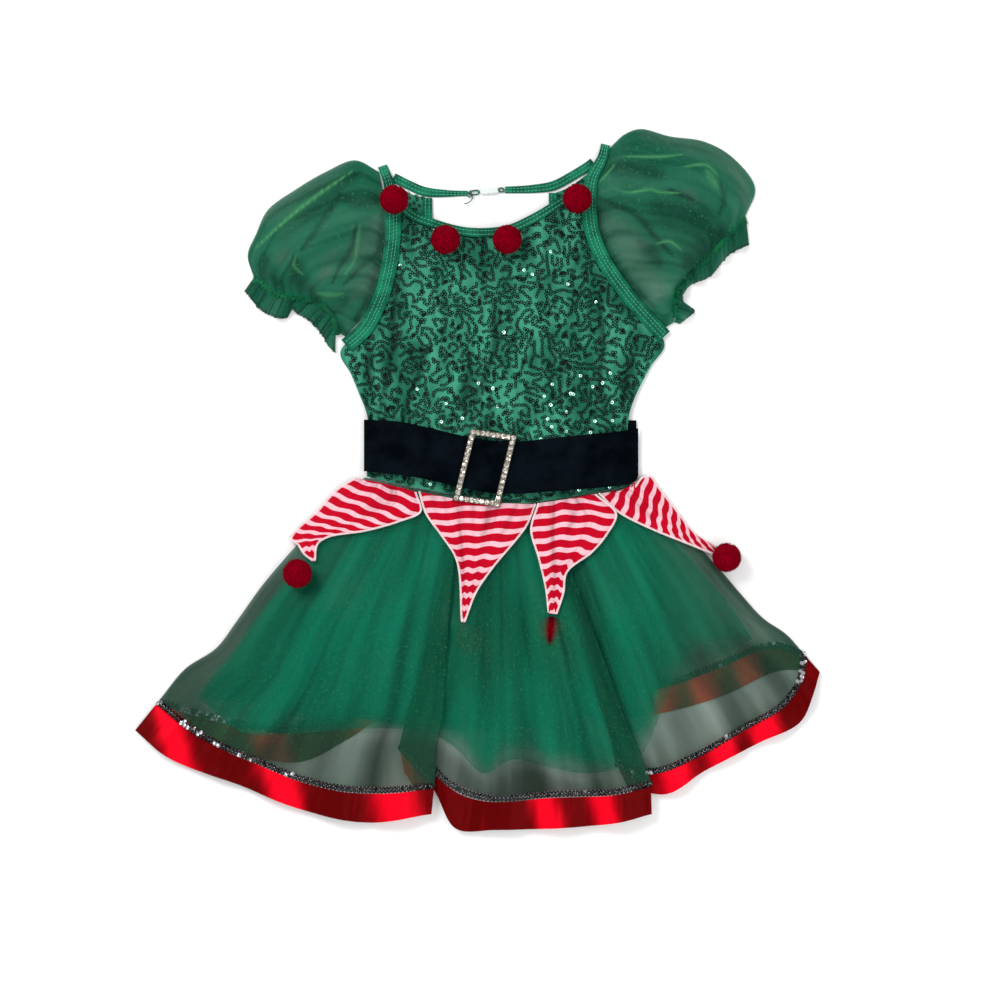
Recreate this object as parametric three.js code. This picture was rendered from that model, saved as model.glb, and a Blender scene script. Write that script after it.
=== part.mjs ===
import * as THREE from 'three';
import { mergeVertices } from 'three/addons/utils/BufferGeometryUtils.js';

// A child's elf dance dress, laid flat on its back. Millimetres, +Y to the neck, +Z up.
// The origin is the middle of the waist on the surface that the dress rests on.

const clothWall = 1.0;
const bindingWall = 1.4;
const beltWall = 1.6;
const beltWidth = 50;
const seamGap = 0.3;
const trimWidth = 6;
const layerPitch = 1.9;
const frontLift = 1.3;
const outerLift = 7.4;
const foldRadius = 1.5;
const foldReturn = 30;
const sawRise = 4 * foldRadius;
const fluteHeight = 6;
const pompomDiameter = 29;
const hiddenPompomHeight = 20;
const tentHeight = 23;
const sleeveArch = 20;
const bodyCrown = 6;
const settlePasses = 14;

// Organza, knit, satin, elastic, yarn and stones
const finish = (color, roughness, metalness = 0) => (
  new THREE.MeshStandardMaterial({ color, roughness, metalness, side: THREE.DoubleSide })
);
const organza = finish(0x2f8f66, 0.55);
const denseOrganza = finish(0x0b6b4a, 0.6);
const sequinCloth = finish(0x1f5a45, 0.35, 0.3);
const binding = finish(0x0f6b4d, 0.5);
const satin = finish(0xc4101e, 0.25);
const sequinTrim = finish(0x1a1a1d, 0.3, 0.6);
const stripedKnit = finish(0xd8404a, 0.7);
const blackElastic = finish(0x07090b, 0.85);
const yarn = finish(0x9b0c1c, 0.95);
const stones = finish(0xe8ecef, 0.15, 0.7);
const clearPlastic = finish(0xe6ece8, 0.3);

const dress = new THREE.Group();

const piece = (name, geometry, material) => {
  const mesh = new THREE.Mesh(geometry, material);
  mesh.name = name;
  dress.add(mesh);
  return geometry;
};

const mix = (a, b, t) => a + (b - a) * t;

const ease = (from, to, value) => {
  const t = Math.min(1, Math.max(0, (value - from) / (to - from)));
  return t * t * (3 - 2 * t);
};

const steps = (count) => Array.from({ length: count + 1 }, (_, k) => k / count);

// Weights of fifteen places spread over a triangle
const triangleShares = steps(4).flatMap((a) => (
  steps(4).filter((b) => a + b <= 1).map((b) => [a, b, 1 - a - b])
));

const curve = (rows) => new THREE.CatmullRomCurve3(
  rows.map(({ x, y }) => new THREE.Vector3(x, y, 0)), false, 'centripetal',
);

// Straight runs between points, each run with an equal share of the length
const polyline = (points) => ({
  getPointAt: (t) => {
    const at = t * (points.length - 1);
    const k = Math.min(points.length - 2, Math.floor(at));
    return points[k].clone().lerp(points[k + 1], at - k);
  },
});

// A patch of plan positions between four edges that meet at their ends
const patch = ({ top, bottom, left, right }) => (u, v) => {
  const across = top.getPointAt(u).lerp(bottom.getPointAt(u), v);
  const along = left.getPointAt(v).lerp(right.getPointAt(v), u);
  const corners = top.getPointAt(0).lerp(top.getPointAt(1), u)
    .lerp(bottom.getPointAt(0).lerp(bottom.getPointAt(1), u), v);
  return across.add(along).sub(corners);
};

// A closed wall on both sides of a grid of middle points, with rows of equal length
function wall(rows, thickness, { upright = false, keep = () => true } = {}) {
  const rowCount = rows.length;
  const columnCount = rows[0].length;
  const normals = rows.map((row, j) => row.map((point, i) => {
    const alongRow = new THREE.Vector3().subVectors(
      row[Math.min(i + 1, columnCount - 1)], row[Math.max(i - 1, 0)],
    );
    const acrossRows = new THREE.Vector3().subVectors(
      rows[Math.min(j + 1, rowCount - 1)][i], rows[Math.max(j - 1, 0)][i],
    );
    return alongRow.cross(acrossRows).normalize();
  }));
  const flip = normals.flat().reduce((sum, normal) => sum + normal.z, 0) < 0 ? -1 : 1;
  const positions = [];
  [1, -1].forEach((face) => rows.forEach((row, j) => row.forEach((point, i) => {
    const out = upright ? new THREE.Vector3(0, 0, 1) : normals[j][i].clone().multiplyScalar(flip);
    positions.push(...point.clone().addScaledVector(out, face * thickness / 2).toArray());
  })));
  const index = [];
  const quad = (a, b, c, d) => {
    const order = flip > 0 ? [a, b, c, a, c, d] : [a, c, b, a, d, c];
    index.push(...order);
  };
  const upper = (i, j) => j * columnCount + i;
  const lower = (i, j) => upper(i, j) + rowCount * columnCount;
  const kept = (i, j) => i >= 0 && j >= 0 && i < columnCount - 1 && j < rowCount - 1 && keep(i, j);
  const side = (i0, j0, i1, j1) => quad(lower(i0, j0), lower(i1, j1), upper(i1, j1), upper(i0, j0));
  for (let j = 0; j < rowCount - 1; j += 1) {
    for (let i = 0; i < columnCount - 1; i += 1) {
      if (kept(i, j)) {
        quad(upper(i, j), upper(i + 1, j), upper(i + 1, j + 1), upper(i, j + 1));
        quad(lower(i, j), lower(i, j + 1), lower(i + 1, j + 1), lower(i + 1, j));
        if (!kept(i, j - 1)) side(i, j, i + 1, j);
        if (!kept(i + 1, j)) side(i + 1, j, i + 1, j + 1);
        if (!kept(i, j + 1)) side(i + 1, j + 1, i, j + 1);
        if (!kept(i - 1, j)) side(i, j + 1, i, j);
      }
    }
  }
  const geometry = new THREE.BufferGeometry();
  geometry.setAttribute('position', new THREE.Float32BufferAttribute(positions, 3));
  geometry.setIndex(index);
  return mergeVertices(geometry, 1e-4);
}

// The heights of what is already laid, on a fine grid, so that the next piece lies on it
class Relief {
  constructor() {
    this.pitch = 2;
    this.reach = 400;
    this.side = Math.round((2 * this.reach) / this.pitch);
    this.heights = new Float32Array(this.side * this.side);
  }

  cell(value) {
    return Math.round((value + this.reach) / this.pitch);
  }

  add(geometry) {
    const position = geometry.getAttribute('position');
    const corners = [0, 1, 2].map(() => new THREE.Vector3());
    const triangle = new THREE.Triangle(...corners);
    const weights = new THREE.Vector3();
    const flat = new THREE.Vector3();
    for (let k = 0; k < geometry.index.count; k += 3) {
      corners.forEach((corner, n) => corner.fromBufferAttribute(position, geometry.index.getX(k + n)));
      const levels = corners.map((corner) => corner.z);
      const [lowX, highX] = [Math.min, Math.max].map((pick) => this.cell(pick(...corners.map((c) => c.x))));
      const [lowY, highY] = [Math.min, Math.max].map((pick) => this.cell(pick(...corners.map((c) => c.y))));
      corners.forEach((corner) => corner.setZ(0));
      for (let row = lowY; row <= highY; row += 1) {
        for (let column = lowX; column <= highX; column += 1) {
          flat.set(column * this.pitch - this.reach, row * this.pitch - this.reach, 0);
          if (triangle.getBarycoord(flat, weights) && Math.min(weights.x, weights.y, weights.z) > -0.1) {
            const height = weights.x * levels[0] + weights.y * levels[1] + weights.z * levels[2];
            const at = row * this.side + column;
            this.heights[at] = Math.max(this.heights[at], Math.min(height, Math.max(...levels)));
          }
        }
      }
    }
    return geometry;
  }

  // The highest of the near cells, each lowered by a shape that grows with its distance
  over(x, y, radius, lowered) {
    let height = 0;
    const span = Math.ceil(radius / this.pitch);
    const [column, row] = [this.cell(x), this.cell(y)];
    for (let j = row - span; j <= row + span; j += 1) {
      for (let i = column - span; i <= column + span; i += 1) {
        const away = Math.hypot(i * this.pitch - this.reach - x, j * this.pitch - this.reach - y);
        if (away <= radius) height = Math.max(height, this.heights[j * this.side + i] - lowered(away));
      }
    }
    return height;
  }

  // The highest of the four cells around a place
  top(x, y) {
    const [column, row] = [(x + this.reach) / this.pitch, (y + this.reach) / this.pitch];
    const cells = [Math.floor(row), Math.ceil(row)].flatMap((j) => (
      [Math.floor(column), Math.ceil(column)].map((i) => this.heights[j * this.side + i])
    ));
    return Math.max(...cells);
  }

  // The lowest height of a cloth that hangs over what is laid, falling by the given slope
  drape(x, y, slope = 0.45, radius = 16) {
    return this.over(x, y, radius, (away) => slope * Math.max(0, away - 2));
  }

  // Raises the points of a grid until every triangle of its wall clears what is laid
  settle(rows, thickness, together = () => []) {
    const clearance = 1.5 * seamGap + 0.55 * thickness;
    const place = new THREE.Vector3();
    for (let pass = 0; pass < settlePasses; pass += 1) {
      for (let j = 0; j < rows.length - 1; j += 1) {
        for (let i = 0; i < rows[j].length - 1; i += 1) {
          const [a, b, c, d] = [rows[j][i], rows[j][i + 1], rows[j + 1][i + 1], rows[j + 1][i]];
          [[a, b, c], [a, c, d]].forEach((corners) => triangleShares.forEach((weights) => {
            place.set(0, 0, 0);
            corners.forEach((corner, n) => place.addScaledVector(corner, weights[n]));
            const lack = this.top(place.x, place.y) + clearance - place.z;
            const share = weights.reduce((sum, weight) => sum + weight * weight, 0);
            if (lack > 0) corners.forEach((corner, n) => { corner.z += (lack * weights[n]) / share; });
          }));
        }
      }
      rows.forEach((row) => together(row).forEach((group) => {
        const rise = Math.max(...group.map((point) => point.z - point.start));
        group.forEach((point) => point.setZ(Math.max(point.z, point.start + rise)));
      }));
    }
    return rows;
  }

  // The height between the four cells around a place
  level(x, y) {
    const [column, row] = [(x + this.reach) / this.pitch, (y + this.reach) / this.pitch];
    const [i, j] = [Math.floor(column), Math.floor(row)];
    const at = (k, n) => this.heights[k * this.side + n];
    const across = (k) => mix(at(k, i), at(k, i + 1), column - i);
    return mix(across(j), across(j + 1), row - j);
  }

  // Moves loose triangles up or down until they rest just above what is laid
  rest(geometry) {
    const position = geometry.getAttribute('position');
    const corners = [0, 1, 2].map(() => new THREE.Vector3());
    const place = new THREE.Vector3();
    let lift = -Infinity;
    for (let k = 0; k < position.count; k += 3) {
      corners.forEach((corner, n) => corner.fromBufferAttribute(position, k + n));
      triangleShares.forEach((weights) => {
        place.set(0, 0, 0);
        corners.forEach((corner, n) => place.addScaledVector(corner, weights[n]));
        const below = mix(this.level(place.x, place.y), this.top(place.x, place.y), 0.45);
        lift = Math.max(lift, below + 1.4 * seamGap - place.z);
      });
    }
    return geometry.translate(0, 0, lift);
  }
}

const laid = new Relief();

// Back layers ride on two broad tents over the pompoms of the back points, and clear the points
const backPompoms = [
  { name: 'pompom_back_left', x: -125, y: -164 },
  { name: 'pompom_back_right', x: 136, y: -164 },
];
const frontPompoms = [
  { name: 'pompom_point_2', x: -31, y: -181 },
  { name: 'pompom_point_3', x: 47, y: -174 },
];

const tent = (x, y, spots, acrossReach, alongReach) => spots.reduce((sum, spot) => {
  const away = ((x - spot.x) / acrossReach) ** 2 + ((y - spot.y) / alongReach) ** 2;
  return sum + (away < 1 ? tentHeight * (1 - away) ** 2 : 0);
}, 0);

const backTent = (x, y) => tent(x, y, backPompoms, 104, 84);
const frontTent = (x, y) => tent(x, y, frontPompoms, 46, 74);
const pointLift = (y) => 1.4 * ease(-215, -165, y);
const backHeight = (x, y) => clothWall / 2 + pointLift(y) + backTent(x, y);

// Main outlines
const waistLine = curve([
  { x: -131, y: -27 }, { x: -98, y: -35 }, { x: -60, y: -42 }, { x: -20, y: -50 },
  { x: 17, y: -53 }, { x: 56, y: -48 }, { x: 94, y: -41 }, { x: 123, y: -36 },
]);
const skirtLeft = curve([
  { x: -131, y: -27 }, { x: -151, y: -41 }, { x: -196, y: -91 }, { x: -230, y: -131 },
  { x: -255, y: -166 }, { x: -274, y: -191 }, { x: -304, y: -211 }, { x: -328, y: -240 },
]);
const skirtRight = curve([
  { x: 123, y: -36 }, { x: 152, y: -57 }, { x: 204, y: -110 }, { x: 228, y: -138 },
  { x: 250, y: -162 }, { x: 273, y: -178 }, { x: 289, y: -196 },
]);

// Front outer skirt: three sections, each tucked under the one to its left by a long fold
const sections = [
  {
    columns: 20, flutes: 5, hidden: 0, waistFrom: 0, waistTo: 0.36,
    seam: [
      { x: -328, y: -240 }, { x: -285, y: -272 }, { x: -230, y: -298 }, { x: -175, y: -318 },
      { x: -125, y: -324 }, { x: -66, y: -320 },
    ],
    edge: [
      { x: -352, y: -270 }, { x: -318, y: -297 }, { x: -252, y: -322 }, { x: -194, y: -345 },
      { x: -130, y: -358 }, { x: -69, y: -350 },
    ],
  },
  {
    columns: 18, flutes: 4, hidden: 2, waistFrom: 0.39, waistTo: 0.66,
    seam: [
      { x: -97, y: -284 }, { x: -74, y: -296 }, { x: -52, y: -316 }, { x: -16, y: -331 },
      { x: 55, y: -327 }, { x: 100, y: -326 }, { x: 141, y: -318 },
    ],
    edge: [
      { x: -92, y: -312 }, { x: -68, y: -324 }, { x: -44, y: -364 }, { x: -6, y: -365 },
      { x: 60, y: -363 }, { x: 110, y: -358 }, { x: 142, y: -350 },
    ],
  },
  {
    columns: 17, flutes: 4, hidden: 2, waistFrom: 0.69, waistTo: 1,
    seam: [
      { x: 110, y: -300 }, { x: 140, y: -307 }, { x: 182, y: -294 }, { x: 230, y: -266 },
      { x: 268, y: -243 }, { x: 283, y: -222 }, { x: 289, y: -196 },
    ],
    edge: [
      { x: 122, y: -324 }, { x: 157, y: -331 }, { x: 194, y: -309 }, { x: 248, y: -281 },
      { x: 286, y: -262 }, { x: 298, y: -236 }, { x: 305, y: -214 },
    ],
  },
];

// Cross-section of a fold: over a rounded edge, back under itself, and on again one level down
const foldColumns = 7;
const foldPath = (() => {
  const bend = Math.PI * foldRadius;
  const length = 2 * bend + foldReturn;
  const stops = [0.33, 0.67, 1, 1 + foldReturn / bend, 1.33 + foldReturn / bend, 1.67 + foldReturn / bend];
  const at = (turns) => {
    const first = Math.min(turns, 1) * Math.PI;
    const straight = Math.max(0, Math.min(turns - 1, foldReturn / bend)) / (foldReturn / bend);
    const second = Math.max(0, turns - 1 - foldReturn / bend) * Math.PI;
    return {
      share: (turns * bend) / length,
      bulge: foldRadius * (Math.sin(first) - Math.sin(second)),
      back: straight,
      drop: foldRadius * (2 - Math.cos(first) - Math.cos(second)) / sawRise,
    };
  };
  return stops.map(at);
})();

function skirtColumns() {
  const columns = [];
  sections.forEach((section, number) => {
    const seam = curve(section.seam);
    const edge = curve(section.edge);
    const following = sections[number + 1];
    const lastSection = !following;
    steps(section.columns).forEach((t, k) => {
      const shown = Math.max(0, (k - section.hidden) / (section.columns - section.hidden));
      columns.push({
        waist: mix(section.waistFrom, section.waistTo, t),
        seam: seam.getPointAt(t),
        edge: edge.getPointAt(t),
        bulge: 0,
        level: lastSection ? 0 : t,
        flute: 0.5 - 0.5 * Math.cos(2 * Math.PI * section.flutes * shown),
      });
    });
    if (following) {
      const nextSeam = curve(following.seam).getPointAt(0);
      const nextEdge = curve(following.edge).getPointAt(0);
      foldPath.forEach((step) => columns.push({
        waist: mix(section.waistTo, following.waistFrom, step.share),
        seam: seam.getPointAt(1).lerp(nextSeam, step.back),
        edge: edge.getPointAt(1).lerp(nextEdge, step.back),
        bulge: step.bulge,
        level: 1 - step.drop,
        flute: 0,
      }));
    }
  });
  return columns;
}

const columns = skirtColumns();

// Columns that lie over or under each other at a fold keep their distances
const foldStacks = sections.slice(1).map((section, number) => {
  const start = sections.slice(0, number + 1)
    .reduce((sum, before) => sum + before.columns + 1, number * (foldColumns - 1));
  return [start - 4, start + foldColumns - 1 + section.hidden + 2];
});

// Plan position and height of the front outer skirt, from its waist at 0 to its hem seam at 1
function outerFront(column, down) {
  const { waist } = column;
  const start = waistLine.getPointAt(waist);
  const point = start.clone().lerp(column.seam, down);
  const bow = (side, u) => side.getPointAt(down)
    .sub(side.getPointAt(0).lerp(side.getPointAt(1), down)).multiplyScalar(u ** 2);
  point.add(bow(skirtLeft, 1 - waist)).add(bow(skirtRight, waist));
  point.x += column.bulge * ease(0.05, 0.2, down);
  const inside = ease(0, 0.035, waist) * ease(0, 0.035, 1 - waist);
  const overLayers = outerLift * mix(0.72, 1, ease(0, 0.3, down)) * mix(1, 0.45, ease(0.8, 1, down));
  const height = backHeight(point.x, point.y) + frontLift
    + inside * (overLayers - frontLift)
    + sawRise * column.level * ease(0.05, 0.24, down)
    + fluteHeight * column.flute * down ** 0.8
    + frontTent(point.x, point.y);
  return point.setZ(height);
}

function ribbonFront(column, seam, down) {
  const edge = column.edge.clone();
  edge.x += column.bulge;
  const bottom = clothWall / 2 + frontLift;
  edge.setZ(bottom + (seam.z - bottom) * 0.9);
  return seam.clone().lerp(edge, down);
}

// Curved surface of the back layers, between the same sides
const backSeam = curve([
  { x: -328, y: -240 }, { x: -246, y: -262 }, { x: -200, y: -266 }, { x: -165, y: -246 }, { x: -120, y: -224 },
  { x: -40, y: -228 }, { x: 60, y: -231 }, { x: 152, y: -224 }, { x: 206, y: -205 }, { x: 258, y: -186 }, { x: 289, y: -196 },
]);
const backEdge = curve([
  { x: -352, y: -270 }, { x: -248, y: -294 }, { x: -192, y: -300 }, { x: -147, y: -278 }, { x: -112, y: -258 },
  { x: -40, y: -263 }, { x: 64, y: -266 }, { x: 160, y: -252 }, { x: 214, y: -236 }, { x: 266, y: -213 }, { x: 305, y: -214 },
]);
const outerBackPlan = patch({ top: waistLine, bottom: backSeam, left: skirtLeft, right: skirtRight });
const innerWaist = curve([
  { x: -119, y: -33 }, { x: -98, y: -37 }, { x: -60, y: -44 }, { x: -20, y: -52 },
  { x: 17, y: -55 }, { x: 56, y: -50 }, { x: 94, y: -43 }, { x: 111, y: -41 },
]);
const innerLeft = curve([
  { x: -119, y: -33 }, { x: -151, y: -62 }, { x: -194, y: -112 }, { x: -230, y: -155 },
  { x: -259, y: -197 }, { x: -276, y: -216 }, { x: -292, y: -238 },
]);
const innerRight = curve([
  { x: 111, y: -41 }, { x: 154, y: -76 }, { x: 190, y: -116 }, { x: 222, y: -155 }, { x: 240, y: -182 },
]);
const innerFrontHem = curve([
  { x: -292, y: -238 }, { x: -247, y: -272 }, { x: -200, y: -273 }, { x: -127, y: -268 }, { x: -70, y: -272 },
  { x: -44, y: -287 }, { x: -18, y: -311 }, { x: 10, y: -298 }, { x: 40, y: -304 }, { x: 84, y: -311 },
  { x: 128, y: -299 }, { x: 154, y: -250 }, { x: 180, y: -190 }, { x: 240, y: -182 },
]);
const innerBackHem = curve([
  { x: -292, y: -238 }, { x: -180, y: -252 }, { x: -60, y: -268 }, { x: 56, y: -265 },
  { x: 150, y: -230 }, { x: 240, y: -182 },
]);

function layer(plan, across, down, thickness, height, { shrink = 0, settled = false } = {}) {
  const rows = down.map((v) => across.map((u) => {
    const point = plan(mix(shrink, 1 - shrink, u), v);
    return point.setZ(height(point.x, point.y, u, v));
  }));
  return wall(settled ? laid.settle(rows, thickness) : rows, thickness);
}

// The seams leave 0.3 mm between the edges of two walls
const seamRows = (rows, length) => rows.map((v) => mix(seamGap / length, 1 - seamGap / length, v));

function backPoints() {
  const pointSides = [
    {
      name: 'peplum_point_back_left',
      waist: [{ x: -84, y: -45 }, { x: -45, y: -49 }, { x: -3, y: -54 }],
      left: [{ x: -84, y: -45 }, { x: -106, y: -100 }, { x: -127, y: -160 }],
      right: [{ x: -3, y: -54 }, { x: -72, y: -98 }, { x: -120, y: -162 }],
      tip: [{ x: -127, y: -160 }, { x: -120, y: -162 }],
    },
    {
      name: 'peplum_point_back_right',
      waist: [{ x: 3, y: -54 }, { x: 45, y: -50 }, { x: 84, y: -46 }],
      left: [{ x: 3, y: -54 }, { x: 76, y: -98 }, { x: 131, y: -162 }],
      right: [{ x: 84, y: -46 }, { x: 114, y: -100 }, { x: 138, y: -160 }],
      tip: [{ x: 131, y: -162 }, { x: 138, y: -160 }],
    },
  ];
  pointSides.forEach(({ name, waist, left, right, tip }) => {
    const plan = patch({ top: curve(waist), bottom: curve(tip), left: curve(left), right: curve(right) });
    const geometry = layer(plan, steps(5), steps(4), clothWall, () => clothWall / 2);
    piece(name, laid.add(geometry), stripedKnit);
  });
}

// A pompom is a core with twenty locks of three sides, parted by grooves
function pompom(name, x, y, halfHeight = pompomDiameter / 2) {
  const radius = pompomDiameter / 2;
  const core = 0.55;
  const spread = 0.9;
  const lockEnd = 0.97;
  const faces = new THREE.IcosahedronGeometry(1, 0).getAttribute('position');
  const positions = [];
  const emit = (...corners) => corners.forEach((corner) => positions.push(...corner.toArray()));
  for (let k = 0; k < faces.count; k += 3) {
    const roots = [0, 1, 2].map((n) => new THREE.Vector3().fromBufferAttribute(faces, k + n));
    const axis = roots[0].clone().add(roots[1]).add(roots[2]).normalize();
    const ends = roots.map((root) => axis.clone().lerp(root, spread).setLength(lockEnd));
    roots.forEach((root) => root.multiplyScalar(core));
    [0, 1, 2].forEach((n) => {
      const next = (n + 1) % 3;
      emit(roots[n], roots[next], ends[next]);
      emit(roots[n], ends[next], ends[n]);
      emit(axis, ends[n], ends[next]);
    });
  }
  const geometry = new THREE.BufferGeometry();
  geometry.setAttribute('position', new THREE.Float32BufferAttribute(positions, 3));
  geometry.scale(radius, radius, halfHeight);
  geometry.translate(x, y, 0);
  piece(name, laid.add(mergeVertices(laid.rest(geometry), 1e-3)), yarn);
}

// A band along a path, lying on what is laid; it may start narrower and widen over a share of its length
function band(name, rows, width, material, {
  count, height, thickness = bindingWall, settled = false, start = width, over = 0.3,
}) {
  const path = curve(rows);
  const sides = [-1, 0, 1].map((side) => steps(count).map((t) => {
    const point = path.getPointAt(t);
    const heading = path.getTangentAt(t);
    const half = mix(start, width, ease(0, over, t)) / 2;
    point.x -= heading.y * side * half;
    point.y += heading.x * side * half;
    return point.setZ(height(point.x, point.y));
  }));
  if (settled) laid.settle(sides, thickness);
  piece(name, laid.add(wall(sides, thickness, { upright: true })), material);
}

const onTop = (thickness, slope, radius) => (x, y) => (
  laid.drape(x, y, slope, radius) + seamGap + thickness / 2
);

// The belt is one loop: a back strip on the surface and a front strip that turns down at its ends
const beltHeight = 12.5;

function beltBack() {
  const rows = [
    { x: -127, y: 3.5 }, { x: 0, y: 1.5 }, { x: 129, y: 2 },
  ];
  band('belt_back', rows, beltWidth, blackElastic, {
    count: 6, height: () => beltWall / 2, thickness: beltWall,
  });
}

const beltLift = (y) => (beltWall + seamGap) * ease(58, 34, y);

// Side edges of the back bodice; their upper shares are the armholes
const bodiceSides = {
  left: curve([
    { x: -107.5, y: 253 }, { x: -104, y: 226 }, { x: -107, y: 185 }, { x: -119, y: 138 },
    { x: -153, y: 95 }, { x: -137, y: 54 }, { x: -129, y: 30 }, { x: -128.4, y: -26.5 },
  ]),
  right: curve([
    { x: 85.5, y: 266 }, { x: 79, y: 226 }, { x: 90, y: 190 }, { x: 112, y: 152 },
    { x: 154, y: 101 }, { x: 141, y: 77 }, { x: 122, y: 32 }, { x: 123, y: -35.5 },
  ]),
};
const armholeShare = { left: 0.42, right: 0.43 };
const armholeRuns = 6;
const armholePoint = (side, run) => (
  bodiceSides[side].getPointAt((run / armholeRuns) * armholeShare[side])
);

// Half-way round the keyhole is its lowest place
const keyholeMiddle = -11;
const keyholeTop = { left: 241.8, right: 246.6 };
const keyhole = (v, inset = 0) => {
  const angle = Math.PI * v;
  const reach = (64 - inset) * Math.abs(Math.cos(angle)) ** 0.45 * Math.sign(Math.cos(angle));
  const top = mix(keyholeTop.left, keyholeTop.right, v);
  return { x: keyholeMiddle - reach, y: top - (102 - inset) * Math.sin(angle) ** 0.9 };
};

// Back bodice with its deep keyhole, on the surface and over the belt
function bodiceBack() {
  const leg = 3;
  const middle = 6;
  const lowerRows = 5;
  const chin = { left: -41, right: 19, y: 151, dip: 9 };
  const run = (from, to, count) => steps(count).map((t) => (
    { x: mix(from.x, to.x, t), y: mix(from.y, to.y, t) }
  ));
  const rows = [];
  for (let j = 0; j <= armholeRuns; j += 1) {
    const isChin = j === armholeRuns;
    const gapLeft = isChin ? { x: chin.left, y: chin.y } : keyhole((0.5 * j) / armholeRuns);
    const gapRight = isChin ? { x: chin.right, y: chin.y } : keyhole(1 - (0.5 * j) / armholeRuns);
    const between = run(gapLeft, gapRight, middle).slice(1, -1);
    between.forEach((point, k) => {
      point.y -= isChin ? chin.dip * Math.sin((Math.PI * (k + 1)) / middle) : 0;
    });
    const legs = [
      run(armholePoint('left', j), gapLeft, leg), run(gapRight, armholePoint('right', j), leg),
    ];
    rows.push([...legs[0], ...between, ...legs[1]]);
  }
  const chinRow = rows[armholeRuns];
  steps(lowerRows).slice(1).forEach((t) => {
    const sideLeft = bodiceSides.left.getPointAt(mix(armholeShare.left, 1, t));
    const sideRight = bodiceSides.right.getPointAt(mix(armholeShare.right, 1, t));
    rows.push(chinRow.map((from, i) => {
      const u = i / (chinRow.length - 1);
      const level = sideLeft.clone().lerp(sideRight, u);
      const waist = waistLine.getPointAt(u);
      return {
        x: mix(mix(from.x, level.x, Math.min(1, 1.3 * t)), waist.x, t ** 3),
        y: mix(mix(from.y, level.y, Math.min(1, 1.6 * t)), waist.y + 0.5, t ** 3),
      };
    }));
  });
  const points = rows.map((row) => row.map(({ x, y }) => (
    new THREE.Vector3(x, y, clothWall / 2 + beltLift(y))
  )));
  const keep = (i, j) => j >= armholeRuns || i < leg || i >= leg + middle;
  piece('bodice_back', laid.add(wall(points, clothWall, { upright: true, keep })), sequinCloth);
}

// Bound edge of the keyhole, folded over the bodice's edge
function keyholeBinding() {
  const inset = 3.5;
  const half = [0.03, 0.08, 0.16, 0.26, 0.38];
  const around = [...half, 0.5, ...half.map((v) => 1 - v).reverse()].map((v) => keyhole(v, inset));
  const path = [
    { x: around[0].x, y: keyholeTop.left - 1 }, ...around, { x: around.at(-1).x, y: keyholeTop.right - 1 },
  ];
  band('keyhole_binding', path, 9, binding, {
    count: 26, height: onTop(bindingWall, 0.4, 12), settled: true,
  });
}

// Front bodice: crowned, with soft upright creases
const creases = [
  { x: -128, depth: 1.2, width: 9, top: 60, bottom: 30 },
  { x: -110, depth: 1.2, width: 9, top: 80, bottom: 30 },
  { x: -14, depth: 1.6, width: 11, top: 110, bottom: 25 },
  { x: 92, depth: 1.4, width: 12, top: 110, bottom: 20 },
];
const frontNeck = [
  { x: -102, y: 243 }, { x: -88, y: 226 }, { x: -65, y: 216 }, { x: -32, y: 208 },
  { x: 4, y: 210 }, { x: 30, y: 221 }, { x: 58, y: 238 }, { x: 78, y: 252 },
];

function bodiceFront() {
  const lower = (rows, by) => rows.map(({ x, y }) => ({ x, y: y - by }));
  const plan = patch({
    top: curve(lower(frontNeck, 1)),
    bottom: curve([
      { x: -131, y: -26.5 }, { x: -98, y: -34.5 }, { x: -60, y: -41.5 }, { x: -20, y: -49.5 },
      { x: 17, y: -52.5 }, { x: 56, y: -47.5 }, { x: 94, y: -40.5 }, { x: 123, y: -35.5 },
    ]),
    left: curve([
      { x: -102, y: 242 }, { x: -105, y: 204 }, { x: -110, y: 162 }, { x: -124, y: 124 },
      { x: -155, y: 93 }, { x: -145, y: 72 }, { x: -137.5, y: 54 }, { x: -129, y: 30 }, { x: -129.5, y: -26.5 },
    ]),
    right: curve([
      { x: 78, y: 251 }, { x: 80, y: 222 }, { x: 96, y: 180 }, { x: 122, y: 139 },
      { x: 156, y: 101 }, { x: 142, y: 78 }, { x: 122, y: 32 }, { x: 123, y: -35.5 },
    ]),
  });
  const height = (x, y, u, v) => {
    const swell = mix(0.25, 1, ease(0, 0.25, v)) * mix(1, 0.2, ease(0.8, 1, v));
    const crown = bodyCrown * (1 - Math.abs(2 * u - 1) ** 3) * swell;
    const crease = creases.reduce((sum, row) => {
      const inside = ease(row.bottom, row.bottom + 20, y) * ease(row.top, row.top - 30, y);
      return sum + row.depth * inside * Math.exp(-(((x - row.x) / row.width) ** 2));
    }, 0);
    return clothWall / 2 + beltLift(y) + frontLift + crown + crease * (1 - Math.abs(2 * u - 1) ** 3);
  };
  const down = [0, 0.06, 0.15, 0.25, 0.35, 0.45, 0.55, 0.65, 0.74, 0.81, 0.87, 0.93, 1];
  const cloth = layer(plan, steps(16), down, clothWall, height, { settled: true });
  piece('bodice_front', laid.add(cloth), sequinCloth);
}

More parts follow.
